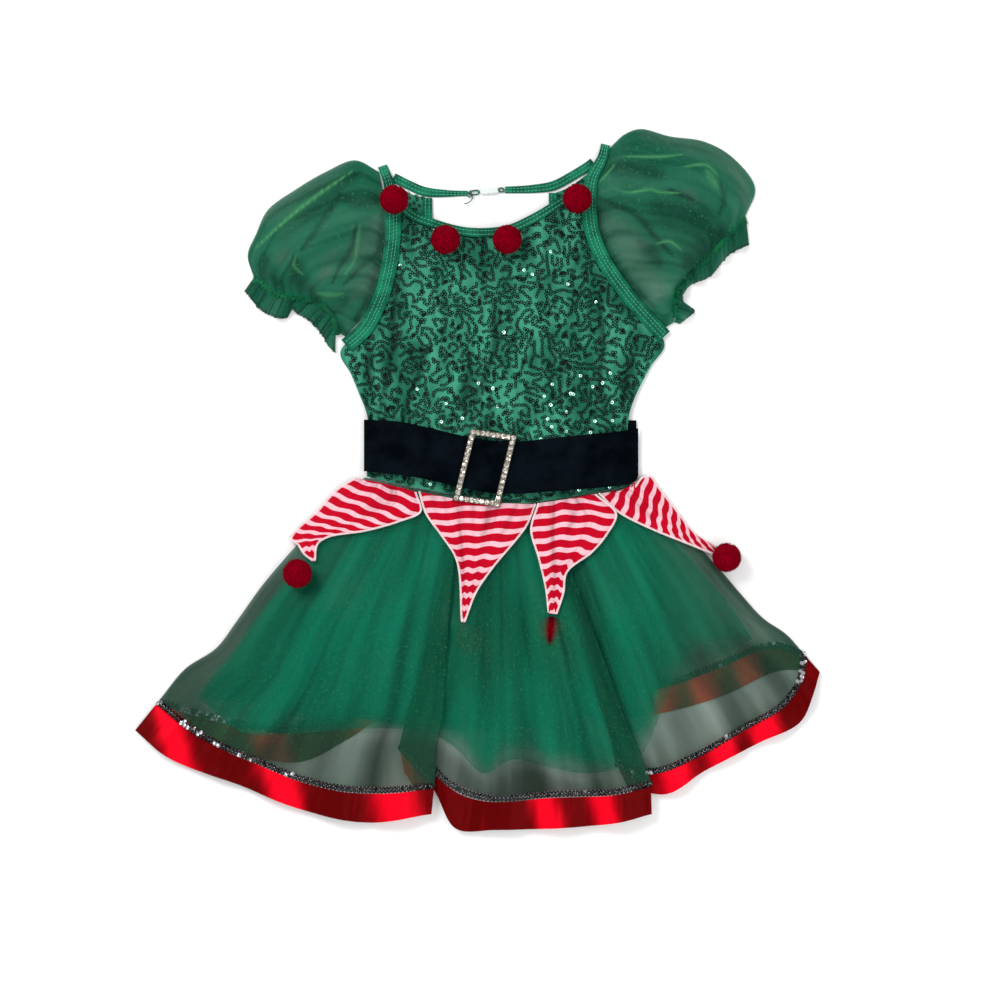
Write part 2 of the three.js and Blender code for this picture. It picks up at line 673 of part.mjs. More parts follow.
function beltFront() {
  const sectionRows = [
    { x: -131.4, top: 28, bottom: -21.5, z: 2.8 },
    { x: -132.4, top: 28, bottom: -21.5, z: 5.2 },
    { x: -129.4, top: 28, bottom: -21.5, z: 9.4 },
    { x: -121, top: 27.5, bottom: -22.5, z: 11.6 },
    { x: -98, top: 26, bottom: -25, z: beltHeight },
    { x: -69, top: 20, bottom: -30, z: beltHeight },
    { x: -40, top: 13, bottom: -37, z: beltHeight },
    { x: -12, top: 8, bottom: -42, z: beltHeight },
    { x: 14, top: 7, bottom: -43, z: beltHeight },
    { x: 46, top: 10, bottom: -41, z: beltHeight },
    { x: 84, top: 14, bottom: -38, z: beltHeight },
    { x: 106, top: 16, bottom: -36, z: 11.8 },
    { x: 120, top: 18, bottom: -34, z: 9.6 },
    { x: 127.5, top: 19, bottom: -31, z: 7.0 },
    { x: 130.6, top: 20, bottom: -26, z: 4.6 },
    { x: 130.6, top: 21, bottom: -23, z: 2.8 },
  ];
  const rows = steps(2).map((v) => sectionRows.map(({ x, top, bottom, z }) => (
    new THREE.Vector3(x, mix(top, bottom, v), z)
  )));
  piece('belt_front', laid.add(wall(rows, beltWall)), blackElastic);
}

// Rectangular buckle frame, leaning, set with a row of faceted stones
function buckle() {
  const size = { width: 45, height: 71, side: 6, depth: 2.6, stone: 1.6 };
  const place = { x: -16.3, y: -18.2, z: beltHeight + beltWall / 2 + seamGap, lean: -0.242, skew: 0.1 };
  const upward = new THREE.Vector3(0, 0, 1);
  const corners = [[-1, 1], [1, 1], [1, -1], [-1, -1]];
  const stonesPerSide = [8, 12, 8, 12];
  const loop = [];
  corners.forEach(([sx, sy], side) => {
    const [tx, ty] = corners[(side + 1) % 4];
    for (let k = 0; k < stonesPerSide[side]; k += 1) {
      const t = k / stonesPerSide[side];
      loop.push({ sx: mix(sx, tx, t), sy: mix(sy, ty, t) });
    }
  });
  const at = ({ sx, sy }, inset, z) => {
    const x = sx * (size.width / 2 - inset);
    const y = sy * (size.height / 2 - inset);
    const turned = new THREE.Vector3(x, y + x * place.skew, 0).applyAxisAngle(upward, place.lean);
    return turned.add(new THREE.Vector3(place.x, place.y, place.z + z));
  };
  const positions = [];
  const emit = (...points) => points.forEach((point) => positions.push(...point.toArray()));
  loop.forEach((spot, k) => {
    const next = loop[(k + 1) % loop.length];
    const [outer, inner] = [0, size.side].map((inset) => [
      at(spot, inset, 0), at(next, inset, 0), at(next, inset, size.depth), at(spot, inset, size.depth),
    ]);
    const ring = [outer[3], outer[2], inner[2], inner[3]];
    const apex = new THREE.Vector3();
    ring.forEach((point) => apex.add(point));
    apex.divideScalar(4).add(new THREE.Vector3(0, 0, size.stone));
    ring.forEach((point, n) => emit(ring[(n + 1) % 4], point, apex));
    emit(outer[1], outer[0], outer[3]);
    emit(outer[1], outer[3], outer[2]);
    emit(inner[0], inner[1], inner[2]);
    emit(inner[0], inner[2], inner[3]);
    emit(outer[0], outer[1], inner[1]);
    emit(outer[0], inner[1], inner[0]);
  });
  const geometry = new THREE.BufferGeometry();
  geometry.setAttribute('position', new THREE.Float32BufferAttribute(positions, 3));
  piece('buckle', laid.add(mergeVertices(geometry, 1e-3)), stones);
}

// Puff sleeves: a flat lower wall, an arched upper wall with creases from the armhole, and ruffles
const sleeves = [
  {
    side: 'left',
    outward: -1,
    shoulder: { x: -119.5, y: 262 },
    armhole: [
      { x: -118, y: 266 }, { x: -113, y: 235 }, { x: -113, y: 204 }, { x: -118, y: 170 },
      { x: -124, y: 148 }, { x: -134, y: 128 }, { x: -150, y: 108 },
    ],
    top: [
      { x: -118, y: 266 }, { x: -141, y: 277 }, { x: -169, y: 266 }, { x: -198, y: 249 },
      { x: -225, y: 229 }, { x: -236, y: 206 }, { x: -244, y: 186 }, { x: -238, y: 164 },
    ],
    cuff: [
      { x: -238, y: 164 }, { x: -212, y: 149 }, { x: -180, y: 143 }, { x: -166, y: 134 }, { x: -159, y: 122 },
      { x: -158, y: 112 },
    ],
    under: [{ x: -150, y: 108 }, { x: -158, y: 112 }],
    gather: [
      { x: -239, y: 163 }, { x: -212.3, y: 148.1 }, { x: -180.6, y: 142 }, { x: -167, y: 133.2 },
      { x: -160.2, y: 121.6 }, { x: -159.4, y: 107 },
    ],
    hem: [
      { x: -247, y: 152 }, { x: -231, y: 133 }, { x: -212, y: 125 }, { x: -205, y: 127 }, { x: -202.5, y: 135 },
      { x: -198, y: 131 }, { x: -184, y: 122 }, { x: -174, y: 111 }, { x: -166, y: 98 }, { x: -160, y: 92 },
    ],
  },
  {
    side: 'right',
    outward: 1,
    shoulder: { x: 104, y: 285.5 },
    armhole: [
      { x: 104, y: 289.5 }, { x: 92, y: 262 }, { x: 86, y: 228 }, { x: 94, y: 198 },
      { x: 109, y: 168 }, { x: 131, y: 144 }, { x: 156, y: 116 },
    ],
    top: [
      { x: 104, y: 289.5 }, { x: 118, y: 302 }, { x: 133, y: 307 }, { x: 161, y: 300 },
      { x: 194, y: 295 }, { x: 221, y: 280 }, { x: 243, y: 250 }, { x: 233, y: 222 },
    ],
    cuff: [
      { x: 233, y: 222 }, { x: 212, y: 202 }, { x: 192, y: 182 }, { x: 174, y: 163 }, { x: 164, y: 148 },
      { x: 163.5, y: 135 }, { x: 166, y: 122 },
    ],
    under: [{ x: 156, y: 116 }, { x: 166, y: 122 }],
    gather: [
      { x: 234, y: 221.5 }, { x: 212.8, y: 201.2 }, { x: 192.8, y: 181.2 }, { x: 175, y: 162.4 },
      { x: 165.3, y: 147.6 }, { x: 164.8, y: 135 }, { x: 167.4, y: 121 },
    ],
    hem: [
      { x: 237, y: 196 }, { x: 218, y: 186 }, { x: 199, y: 165 }, { x: 181, y: 157 }, { x: 173.5, y: 147 },
      { x: 175, y: 139 }, { x: 185, y: 133 }, { x: 171, y: 120 },
    ],
  },
];
const sleevePuffs = 6;
const creaseDepth = 2.2;
const ruffleWaves = 7;

function sleeve({ side, outward, shoulder, armhole, top, cuff, under, gather, hem }) {
  const upperPlan = patch({
    top: curve(armhole), bottom: curve(cuff), left: curve(top), right: curve(under),
  });
  const seamOffset = 1.4 * seamGap * outward;
  const seam = [new THREE.Vector3(shoulder.x, shoulder.y, 0)];
  for (let j = 0; j <= armholeRuns; j += 1) {
    const point = armholePoint(side, j);
    seam.push(point.setX(point.x + seamOffset));
  }
  const lowerPlan = patch({
    top: polyline(seam), bottom: curve(cuff),
    left: curve([shoulder, ...top.slice(1)]), right: curve([seam.at(-1), under[1]]),
  });
  const gathered = gather.map(({ x, y }) => ({ x: x + seamGap * outward, y: y - seamGap }));
  const ruffle = patch({
    top: curve(gathered), bottom: curve(hem),
    left: curve([gathered[0], hem[0]]), right: curve([gathered.at(-1), hem.at(-1)]),
  });
  const arch = (x, y, u, v) => {
    const acrossArch = Math.sin(Math.PI * Math.min(1, Math.max(0, u))) ** 0.75;
    const body = acrossArch * Math.sin(Math.PI * mix(0.05, 0.96, v)) ** 0.8;
    const ridge = Math.cos(2 * Math.PI * sleevePuffs * u) * (0.3 + 0.7 * v);
    return clothWall / 2 + frontLift + sleeveArch * body - creaseDepth * body * (1 - ridge) / 2;
  };
  const onSurface = () => clothWall / 2;
  const lower = layer(lowerPlan, steps(2 * (armholeRuns + 1)), steps(3), clothWall, onSurface);
  piece(`sleeve_${side}_lower`, laid.add(lower), organza);
  const upper = layer(upperPlan, steps(24), steps(6), clothWall, arch, { shrink: 0.004 });
  piece(`sleeve_${side}_upper`, laid.add(upper), organza);
  const flat = layer(ruffle, steps(8), steps(1), clothWall, onSurface);
  piece(`cuff_ruffle_${side}_lower`, laid.add(flat), organza);
  const wave = (x, y, u, v) => (
    clothWall / 2 + frontLift + mix(1.5, 3.5, v) * (1 - Math.cos(2 * Math.PI * ruffleWaves * u))
  );
  const waved = layer(ruffle, steps(4 * ruffleWaves), steps(1), clothWall, wave);
  piece(`cuff_ruffle_${side}_upper`, laid.add(waved), organza);
}

// Skirt from the surface up
function skirt() {
  const across = steps(20);
  const down = [0, 0.18, 0.36, 0.5, 0.64, 0.82, 1];
  const outer = layer(outerBackPlan, across, seamRows(down, 220), clothWall, backHeight);
  piece('skirt_outer_back', laid.add(outer), organza);
  const trimShare = trimWidth / 36;
  const backStrip = (from, to) => wall([from, to].map((v) => across.map((u) => {
    const point = backSeam.getPointAt(u).lerp(backEdge.getPointAt(u), v);
    return point.setZ(backHeight(point.x, point.y));
  })), clothWall);
  piece('hem_trim_back', laid.add(backStrip(0.01, trimShare)), sequinTrim);
  piece('hem_ribbon_back', laid.add(backStrip(trimShare + 0.012, 1)), satin);
  const innerPlan = patch({ top: innerWaist, bottom: innerBackHem, left: innerLeft, right: innerRight });
  const above = (x, y) => backHeight(x, y) + layerPitch;
  const innerBack = layer(innerPlan, steps(16), down, clothWall, above, { settled: true });
  piece('underskirt_back', laid.add(innerBack), denseOrganza);
  const innerFrontPlan = patch({
    top: innerWaist, bottom: innerFrontHem, left: innerLeft, right: innerRight,
  });
  const fluted = (x, y, u, v) => (
    backHeight(x, y) + 2 * layerPitch + 0.7 * (1 - Math.cos(2 * Math.PI * 9 * u)) * v
  );
  const innerFront = layer(innerFrontPlan, steps(36), down, clothWall, fluted, { settled: true });
  piece('underskirt_front', laid.add(innerFront), denseOrganza);
  frontPompoms.forEach(({ name, x, y }) => pompom(name, x, y, hiddenPompomHeight / 2));
  const rows = [0.002, 0.08, 0.22, 0.36, 0.48, 0.6, 0.8, 1].map((v) => (
    columns.map((column) => outerFront(column, v))
  ));
  rows.flat().forEach((point) => { point.start = point.z; });
  const stacks = (row) => foldStacks.map(([from, to]) => row.slice(from, to));
  const seam = laid.settle(rows, clothWall, stacks).at(-1).map((point) => point.clone());
  const frontStrip = (from, to) => wall([from, to].map((v) => (
    columns.map((column, k) => ribbonFront(column, seam[k], v))
  )), clothWall);
  const trim = frontStrip(0.02, trimShare);
  const ribbon = frontStrip(trimShare + 0.015, 1);
  piece('skirt_outer_front', laid.add(wall(rows, clothWall)), organza);
  piece('hem_trim_front', laid.add(trim), sequinTrim);
  piece('hem_ribbon_front', laid.add(ribbon), satin);
}

// Striped points that hang from the waist seam over the skirt
const frontPoints = [
  {
    name: 'peplum_point_1', pompom: { x: -195, y: -119 },
    waist: [{ x: -141, y: -27.5 }, { x: -110, y: -34 }, { x: -82, y: -41 }],
    left: [
      { x: -141, y: -27.5 }, { x: -159, y: -39 }, { x: -178, y: -60 }, { x: -198, y: -78 }, { x: -203, y: -87 },
      { x: -196, y: -92 }, { x: -190, y: -101 }, { x: -181, y: -108 },
    ],
    right: [
      { x: -82, y: -41 }, { x: -77, y: -60 }, { x: -98, y: -70 }, { x: -130, y: -79 }, { x: -166, y: -85 },
      { x: -176, y: -92 }, { x: -178, y: -107 },
    ],
    tip: [{ x: -181, y: -108 }, { x: -178, y: -107 }],
  },
  {
    name: 'peplum_point_4', pompom: { x: 215, y: -104 },
    waist: [{ x: 92, y: -43 }, { x: 111, y: -40 }, { x: 127, y: -36 }],
    left: [
      { x: 92, y: -43 }, { x: 111.5, y: -61.3 }, { x: 142, y: -77 }, { x: 173, y: -89.6 }, { x: 204, y: -102 },
    ],
    right: [
      { x: 127, y: -36 }, { x: 134, y: -27 }, { x: 142, y: -25 }, { x: 151.4, y: -37 }, { x: 168, y: -58.7 },
      { x: 184, y: -79.3 }, { x: 209, y: -95 },
    ],
    tip: [{ x: 204, y: -102 }, { x: 209, y: -95 }],
  },
  {
    name: 'peplum_point_2',
    waist: [{ x: -80, y: -41 }, { x: -30, y: -50 }, { x: 33, y: -53 }],
    left: [
      { x: -80, y: -41 }, { x: -73.5, y: -62 }, { x: -58, y: -84 }, { x: -44, y: -107 }, { x: -39, y: -165 },
    ],
    right: [
      { x: 33, y: -53 }, { x: 24, y: -74 }, { x: -9, y: -115 }, { x: -24, y: -137 }, { x: -35, y: -165.5 },
    ],
    tip: [{ x: -39, y: -165 }, { x: -35, y: -165.5 }],
  },
  {
    name: 'peplum_point_3',
    waist: [{ x: 34, y: -52 }, { x: 62, y: -48 }, { x: 90, y: -43 }],
    left: [{ x: 34, y: -52 }, { x: 27, y: -77 }, { x: 34.5, y: -105 }, { x: 41, y: -133 }, { x: 43.5, y: -156.5 }],
    right: [
      { x: 90, y: -43 }, { x: 110, y: -62 }, { x: 101, y: -82 }, { x: 86, y: -99.8 }, { x: 62.5, y: -118 },
      { x: 59, y: -138 }, { x: 52.5, y: -157.5 },
    ],
    tip: [{ x: 43.5, y: -156.5 }, { x: 52.5, y: -157.5 }],
  },
];

function peplum() {
  frontPoints.forEach(({ name, waist, left, right, tip }) => {
    const plan = patch({ top: curve(waist), bottom: curve(tip), left: curve(left), right: curve(right) });
    const height = (x, y) => laid.drape(x, y, 0.4, 8) + clothWall / 2;
    const geometry = layer(plan, steps(7), seamRows(steps(8), 120), clothWall, height, { settled: true });
    piece(name, laid.add(geometry), stripedKnit);
  });
  frontPoints.filter((point) => point.pompom).forEach(({ name, pompom: at }) => {
    pompom(name.replace('peplum_point', 'pompom_point'), at.x, at.y);
  });
}

// Leaves only the positions of a stock shape, joined at its corners
const bare = (geometry) => {
  geometry.deleteAttribute('normal');
  geometry.deleteAttribute('uv');
  return mergeVertices(geometry, 1e-3);
};

// Bound neck edges of the back, its elastic loops and its clasp
function backNeck() {
  const onSurface = { height: () => bindingWall / 2, count: 8 };
  band('neck_band_back_left', [
    { x: -33, y: 245.4 }, { x: -52, y: 245.2 }, { x: -74, y: 247 }, { x: -90, y: 253.5 }, { x: -104, y: 260.5 },
  ], 9, binding, { ...onSurface, start: 5, over: 0.6 });
  band('neck_band_back_right', [
    { x: 3, y: 248.6 }, { x: 30, y: 249.6 }, { x: 49, y: 252.6 }, { x: 65.5, y: 260.8 },
    { x: 80, y: 269.6 }, { x: 87.6, y: 275 },
  ], 9, binding, { ...onSurface, start: 6.5, over: 0.5 });
  const [cordSize, cordLift] = [1.2, 0.2];
  const loopShape = (length) => {
    const shape = new THREE.Shape();
    shape.absarc(-length / 2, 0, 2.6, Math.PI / 2, 1.5 * Math.PI);
    shape.absarc(length / 2, 0, 2.6, -Math.PI / 2, Math.PI / 2);
    const hole = new THREE.Path();
    hole.absarc(-length / 2, 0, 1.2, 1.5 * Math.PI, Math.PI / 2, true);
    hole.absarc(length / 2, 0, 1.2, Math.PI / 2, -Math.PI / 2, true);
    shape.holes.push(hole);
    return shape;
  };
  const loops = [
    { name: 'elastic_loop_left', x: -26.7, y: 246, length: 5.6, turn: 0.12 },
    { name: 'elastic_loop_right', x: -0.6, y: 248.6, length: 0.6, turn: 0.05 },
  ];
  loops.forEach(({ name, x, y, length, turn }) => {
    const geometry = new THREE.ExtrudeGeometry(loopShape(length), {
      depth: cordSize, bevelEnabled: false, curveSegments: 5,
    });
    geometry.rotateZ(turn);
    geometry.translate(x, y, cordLift);
    piece(name, bare(geometry), blackElastic);
  });
  const half = [[-8, -2.4], [-1.2, -2.9], [0, -2.2], [1.2, -2.9], [8, -2.4]];
  const outline = [...half, ...half.map(([x, y]) => [-x, -y])];
  const clasp = new THREE.Shape(outline.map(([x, y]) => new THREE.Vector2(x, y)));
  const body = new THREE.ExtrudeGeometry(clasp, {
    depth: 2.2, bevelThickness: 0.6, bevelSize: 0.5, bevelSegments: 1,
  });
  body.rotateZ(0.08);
  body.translate(-12.4, 248, 0.7);
  piece('neck_clasp', bare(body), clearPlastic);
}

function bindings() {
  const laidOver = (slope) => ({ count: 18, height: onTop(bindingWall, slope, 12), settled: true });
  band('neck_binding_front', frontNeck, 8.6, binding, laidOver(0.4));
  const narrowTop = { start: 9, over: 0.28 };
  band('armhole_binding_left', [
    { x: -114.7, y: 271.5 }, { x: -108, y: 253 }, { x: -104.5, y: 226 }, { x: -105, y: 197 }, { x: -110, y: 166 },
    { x: -117, y: 143 }, { x: -131, y: 116 }, { x: -149, y: 99 },
  ], 15, binding, { ...laidOver(0.5), ...narrowTop });
  band('armhole_binding_right', [
    { x: 99.5, y: 292 }, { x: 96.5, y: 280 }, { x: 86, y: 258 }, { x: 83.5, y: 232 }, { x: 87, y: 206 },
    { x: 99, y: 178 }, { x: 120, y: 148 }, { x: 141, y: 124 }, { x: 156, y: 108 },
  ], 14, binding, { ...laidOver(0.5), ...narrowTop });
}

const neckPompoms = [
  { name: 'pompom_neck_1', x: -103, y: 238 },
  { name: 'pompom_neck_2', x: -54, y: 200 },
  { name: 'pompom_neck_3', x: 5, y: 200 },
  { name: 'pompom_neck_4', x: 72, y: 239 },
];

beltBack();
backPoints();
backPompoms.forEach(({ name, x, y }) => pompom(name, x, y, hiddenPompomHeight / 2));
bodiceBack();
keyholeBinding();
backNeck();
sleeves.forEach(sleeve);
bodiceFront();
skirt();
peplum();
bindings();
beltFront();
buckle();
neckPompoms.forEach(({ name, x, y }) => pompom(name, x, y));

export default dress;
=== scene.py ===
import math

import bpy
import numpy as np
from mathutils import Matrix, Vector
from mathutils.bvhtree import BVHTree


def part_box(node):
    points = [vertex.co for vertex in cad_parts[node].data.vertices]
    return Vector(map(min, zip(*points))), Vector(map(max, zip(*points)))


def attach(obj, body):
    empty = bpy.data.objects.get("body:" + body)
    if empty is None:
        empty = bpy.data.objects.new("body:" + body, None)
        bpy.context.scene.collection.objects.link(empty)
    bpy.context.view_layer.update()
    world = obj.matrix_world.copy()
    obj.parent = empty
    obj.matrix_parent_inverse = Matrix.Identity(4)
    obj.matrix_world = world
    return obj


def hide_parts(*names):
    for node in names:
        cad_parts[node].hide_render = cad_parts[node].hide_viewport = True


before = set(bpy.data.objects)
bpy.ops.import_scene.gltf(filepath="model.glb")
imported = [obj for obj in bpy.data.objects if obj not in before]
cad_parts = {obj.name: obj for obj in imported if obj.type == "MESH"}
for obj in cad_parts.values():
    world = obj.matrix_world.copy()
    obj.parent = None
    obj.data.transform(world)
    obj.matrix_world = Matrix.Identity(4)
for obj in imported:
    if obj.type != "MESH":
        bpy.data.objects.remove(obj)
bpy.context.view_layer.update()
chance = np.random.default_rng(11)
mm = 0.001


# Camera straight above the dress, light, and the surface it lies on
shot = {"middle": (-1.9, -49.0), "width": 960.0, "lens": 150.0, "sensor": 36.0, "sky": 0.62, "floor": 5.0}
lights = [
    {"name": "window", "at": (-1.5, 1.5, 2.1), "size": 1.3, "power": 62},
    {"name": "room", "at": (1.7, -0.5, 2.2), "size": 1.8, "power": 22},
    {"name": "low", "at": (0.3, -1.9, 1.0), "size": 0.8, "power": 12},
]


def setTheShot():
    camera = bpy.data.objects.new("camera", bpy.data.cameras.new("camera"))
    bpy.context.scene.collection.objects.link(camera)
    camera.data.lens, camera.data.sensor_width = shot["lens"], shot["sensor"]
    distance = shot["width"] * shot["lens"] / shot["sensor"]
    camera.location = (shot["middle"][0] * mm, shot["middle"][1] * mm, distance * mm)
    camera.data.clip_end = 20
    bpy.context.scene.camera = camera
    for lamp in lights:
        light = bpy.data.lights.new(lamp["name"], "AREA")
        light.size, light.energy = lamp["size"], lamp["power"]
        holder = bpy.data.objects.new(lamp["name"], light)
        holder.location = lamp["at"]
        holder.rotation_euler = (-Vector(lamp["at"])).to_track_quat("-Z", "Y").to_euler()
        bpy.context.scene.collection.objects.link(holder)
    world = bpy.data.worlds.new("sky")
    world.use_nodes = True
    world.node_tree.nodes["Background"].inputs[0].default_value = (1, 1, 1, 1)
    world.node_tree.nodes["Background"].inputs[1].default_value = shot["sky"]
    bpy.context.scene.world = world
    bpy.context.scene.view_settings.view_transform = "Standard"
    bpy.context.scene.cycles.transparent_max_bounces = 24
    bpy.ops.mesh.primitive_plane_add(size=shot["floor"], location=(0, 0, -0.0004))
    floor = bpy.context.object
    floor.name = "floor"
    pale = Finish("paleFloor", {"Base Color": rgb(244, 244, 244), "Roughness": 0.9,
                                "Specular IOR Level": 0.1})
    floor.data.materials.append(pale.material)


def rgb(r, g, b):
    return (*[(c / 255 / 12.92 if c < 11 else ((c / 255 + 0.055) / 1.055) ** 2.4) for c in (r, g, b)], 1)


# Shader maths as plain expressions
class Wire:
    def __init__(self, book, socket):
        self.book, self.socket = book, socket

    def maths(self, operation, a, b):
        return self.book.node("ShaderNodeMath", {"operation": operation}, [a, b])

    def __add__(self, other):
        return self.maths("ADD", self, other)

    def __radd__(self, other):
        return self.maths("ADD", other, self)

    def __sub__(self, other):
        return self.maths("SUBTRACT", self, other)

    def __rsub__(self, other):
        return self.maths("SUBTRACT", other, self)

    def __mul__(self, other):
        return self.maths("MULTIPLY", self, other)

    def __rmul__(self, other):
        return self.maths("MULTIPLY", other, self)

    def __truediv__(self, other):
        return self.maths("DIVIDE", self, other)

    def __pow__(self, other):
        return self.maths("POWER", self, other)

    def wave(self):
        return self.maths("SINE", self, 0.0)


class Finish:
    def __init__(self, name, fixed):
        self.material = bpy.data.materials.new(name)
        self.material.use_nodes = True
        self.tree = self.material.node_tree
        self.shader = self.tree.nodes["Principled BSDF"]
        for title, value in fixed.items():
            self.shader.inputs[title].default_value = value

    def node(self, kind, settings=None, inputs=(), output=0):
        made = self.tree.nodes.new(kind)
        for key, value in (settings or {}).items():
            setattr(made, key, value)
        pairs = inputs.items() if isinstance(inputs, dict) else enumerate(inputs)
        for key, value in pairs:
            self.feed(made.inputs[key], value)
        return Wire(self, made.outputs[output])

    def feed(self, socket, value):
        if isinstance(value, Wire):
            self.tree.links.new(value.socket, socket)
        else:
            socket.default_value = value

    def drive(self, title, value):
        self.feed(self.shader.inputs[title], value)

    def place(self, stretch=(1, 1, 1), flat=False):
        start = self.node("ShaderNodeTexCoord", output="UV" if flat else "Object")
        return self.node("ShaderNodeMapping", inputs={"Vector": start, "Scale": stretch})

    def along(self, axis, flat=True):
        start = self.node("ShaderNodeTexCoord", output="UV" if flat else "Object")
        return self.node("ShaderNodeSeparateXYZ", inputs=[start], output=axis)

    def noise(self, where, scale, detail=3.0):
        return self.node("ShaderNodeTexNoise", inputs={"Vector": where, "Scale": scale, "Detail": detail})

    def cells(self, where, scale, output="Distance"):
        return self.node("ShaderNodeTexVoronoi", inputs={"Vector": where, "Scale": scale}, output=output)

    def share(self, value, low, high, least=0.0, most=1.0):
        settings = {"interpolation_type": "SMOOTHSTEP"}
        return self.node("ShaderNodeMapRange", settings, [value, low, high, least, most])

    def blend(self, factor, first, second):
        return self.node("ShaderNodeMix", {"data_type": "RGBA"}, {0: factor, 6: first, 7: second}, 2)

    def own(self, name):
        return self.node("ShaderNodeAttribute", {"attribute_name": name}, output="Fac")

    def mottle(self, scale, detail, first, second):
        return self.blend(self.share(self.noise(self.place(), scale, detail), 0.3, 0.7), first, second)

    def ribs(self, x, deepX, y, deepY, flat=True):
        return (self.along("X", flat) * x).wave() * deepX + (self.along("Y", flat) * y).wave() * deepY

    def raised(self, height, strength=0.4, distance=0.0004):
        inputs = {"Strength": strength, "Distance": distance, "Height": height}
        self.drive("Normal", self.node("ShaderNodeBump", inputs=inputs))


# Forms: smooth lines through points, patches between lines, heights from the solids
def runOf(path):
    # Distance run at each point of a path
    return np.concatenate([[0], np.cumsum(np.linalg.norm(np.diff(path, axis=0), axis=1))])


def pick(path, run, *places):
    return [np.array([np.interp(min(s, run[-1]), run, path[:, k]) for k in range(3)]) for s in places]


class Line:
    def __init__(self, *points):
        p = np.array(points, float)
        self.ends = p[[0, -1]]
        q = np.vstack([2 * p[0] - p[1], p, 2 * p[-1] - p[-2]])
        dots = []
        for k in range(len(p) - 1):
            a, b, c, d = q[k:k + 4]
            d0, d1, d2 = [max(np.linalg.norm(r) ** 0.5, 1e-4) for r in (b - a, c - b, d - c)]
            m1 = ((b - a) / d0 - (c - a) / (d0 + d1) + (c - b) / d1) * d1
            m2 = ((c - b) / d1 - (d - b) / (d1 + d2) + (d - c) / d2) * d1
            s = np.linspace(0, 1, 25)[:-1, None]
            cubic = (2 * b - 2 * c + m1 + m2) * s ** 3 + (3 * c - 3 * b - 2 * m1 - m2) * s ** 2
            dots.append(cubic + m1 * s + b)
        self.dots = np.vstack([*dots, p[-1:]])
        self.run = runOf(self.dots)
        self.length = self.run[-1]

    def at(self, t):
        s = np.asarray(t, float) * self.length
        return np.stack([np.interp(s, self.run, self.dots[:, k]) for k in range(self.dots.shape[1])], -1)

    def heading(self, t):
        t = np.asarray(t, float)
        step = self.at(np.clip(t + 0.004, 0, 1)) - self.at(np.clip(t - 0.004, 0, 1))
        return step / np.linalg.norm(step, axis=-1, keepdims=True)


def patch(top, bottom, left, right):
    def plan(u, v):
        a, b = u[..., None], v[..., None]
        upper, lower = [line.ends[0] * (1 - a) + line.ends[1] * a for line in (top, bottom)]
        between = upper * (1 - b) + lower * b
        return top.at(u) * (1 - b) + bottom.at(u) * b + left.at(v) * (1 - a) + right.at(v) * a - between
    return plan


def mix(a, b, t):
    return a + (b - a) * t


def ease(low, high, value):
    t = np.clip((value - low) / (high - low), 0, 1)
    return t * t * (3 - 2 * t)


def grid(across, down):
    v, u = np.meshgrid(np.linspace(0, 1, down + 1), np.linspace(0, 1, across + 1), indexing="ij")
    return u, v


trees = {}


def treeOf(node):
    if node not in trees:
        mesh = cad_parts[node].data
        trees[node] = BVHTree.FromPolygons([v.co for v in mesh.vertices], [p.vertices for p in mesh.polygons])
    return trees[node]


def topOf(node, x, y):
    tree, down = treeOf(node), Vector((0, 0, -1))
    heights = np.full(x.shape, np.nan)
    for k in np.ndindex(x.shape):
        hit = tree.ray_cast(Vector((x[k] * mm, y[k] * mm, 0.2)), down)[0]
        if hit is not None:
            heights[k] = hit.z / mm
    return heights


def fill(heights):
    z = heights.copy()
    for _ in range(200):
        gaps = np.isnan(z)
        if not gaps.any():
            break
        p = np.pad(z, 1, constant_values=np.nan)
        near = np.stack([p[:-2, 1:-1], p[2:, 1:-1], p[1:-1, :-2], p[1:-1, 2:]])
        known = ~np.isnan(near)
        total, count = np.where(known, near, 0).sum(0), known.sum(0)
        z = np.where(gaps & (count > 0), total / np.maximum(count, 1), z)
    return z


def soften(z, times):
    for _ in range(times):
        p = np.pad(z, ((1, 1), (0, 0)), mode="edge")
        z = (p[:-2] + 2 * p[1:-1] + p[2:]) / 4
        p = np.pad(z, ((0, 0), (1, 1)), mode="edge")
        z = (p[:, :-2] + 2 * p[:, 1:-1] + p[:, 2:]) / 4
    return z


def ripple(value, waves, seed):
    rng = np.random.default_rng(seed)
    total = np.zeros_like(value)
    for pace in waves:
        drift = 0.02 * np.sin(2 * np.pi * value * pace * 0.23 + rng.uniform(0, 6))
        total += np.sin(2 * np.pi * pace * (value + drift) + rng.uniform(0, 6))
    return total / len(waves)


def strokes(x, y, rows):
    # Nearness to drawn lines, each (width, amount, points); they taper to their ends
    total = np.zeros_like(x)
    for wide, amount, *dots in rows:
        t = np.linspace(0, 1, 32)
        size = wide * (0.45 + 0.55 * np.sin(np.pi * t))
        line = Line(*dots).at(t)
        away = np.min([np.hypot(x - a, y - b) / r for (a, b), r in zip(line, size)], axis=0)
        total += amount * np.exp(-away ** 2)
    return total


def addPiece(name, verts, faces, finish, nodes=(), smooth=True):
    mesh = bpy.data.meshes.new(name)
    faces = faces.tolist() if isinstance(faces, np.ndarray) else faces
    mesh.from_pydata((np.asarray(verts, float) * mm).tolist(), [], faces)
    mesh.materials.append(finish.material)
    mesh.polygons.foreach_set("use_smooth", [smooth] * len(mesh.polygons))
    piece = bpy.data.objects.new(name, mesh)
    bpy.context.scene.collection.objects.link(piece)
    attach(piece, "root")
    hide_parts(*nodes)
    return piece


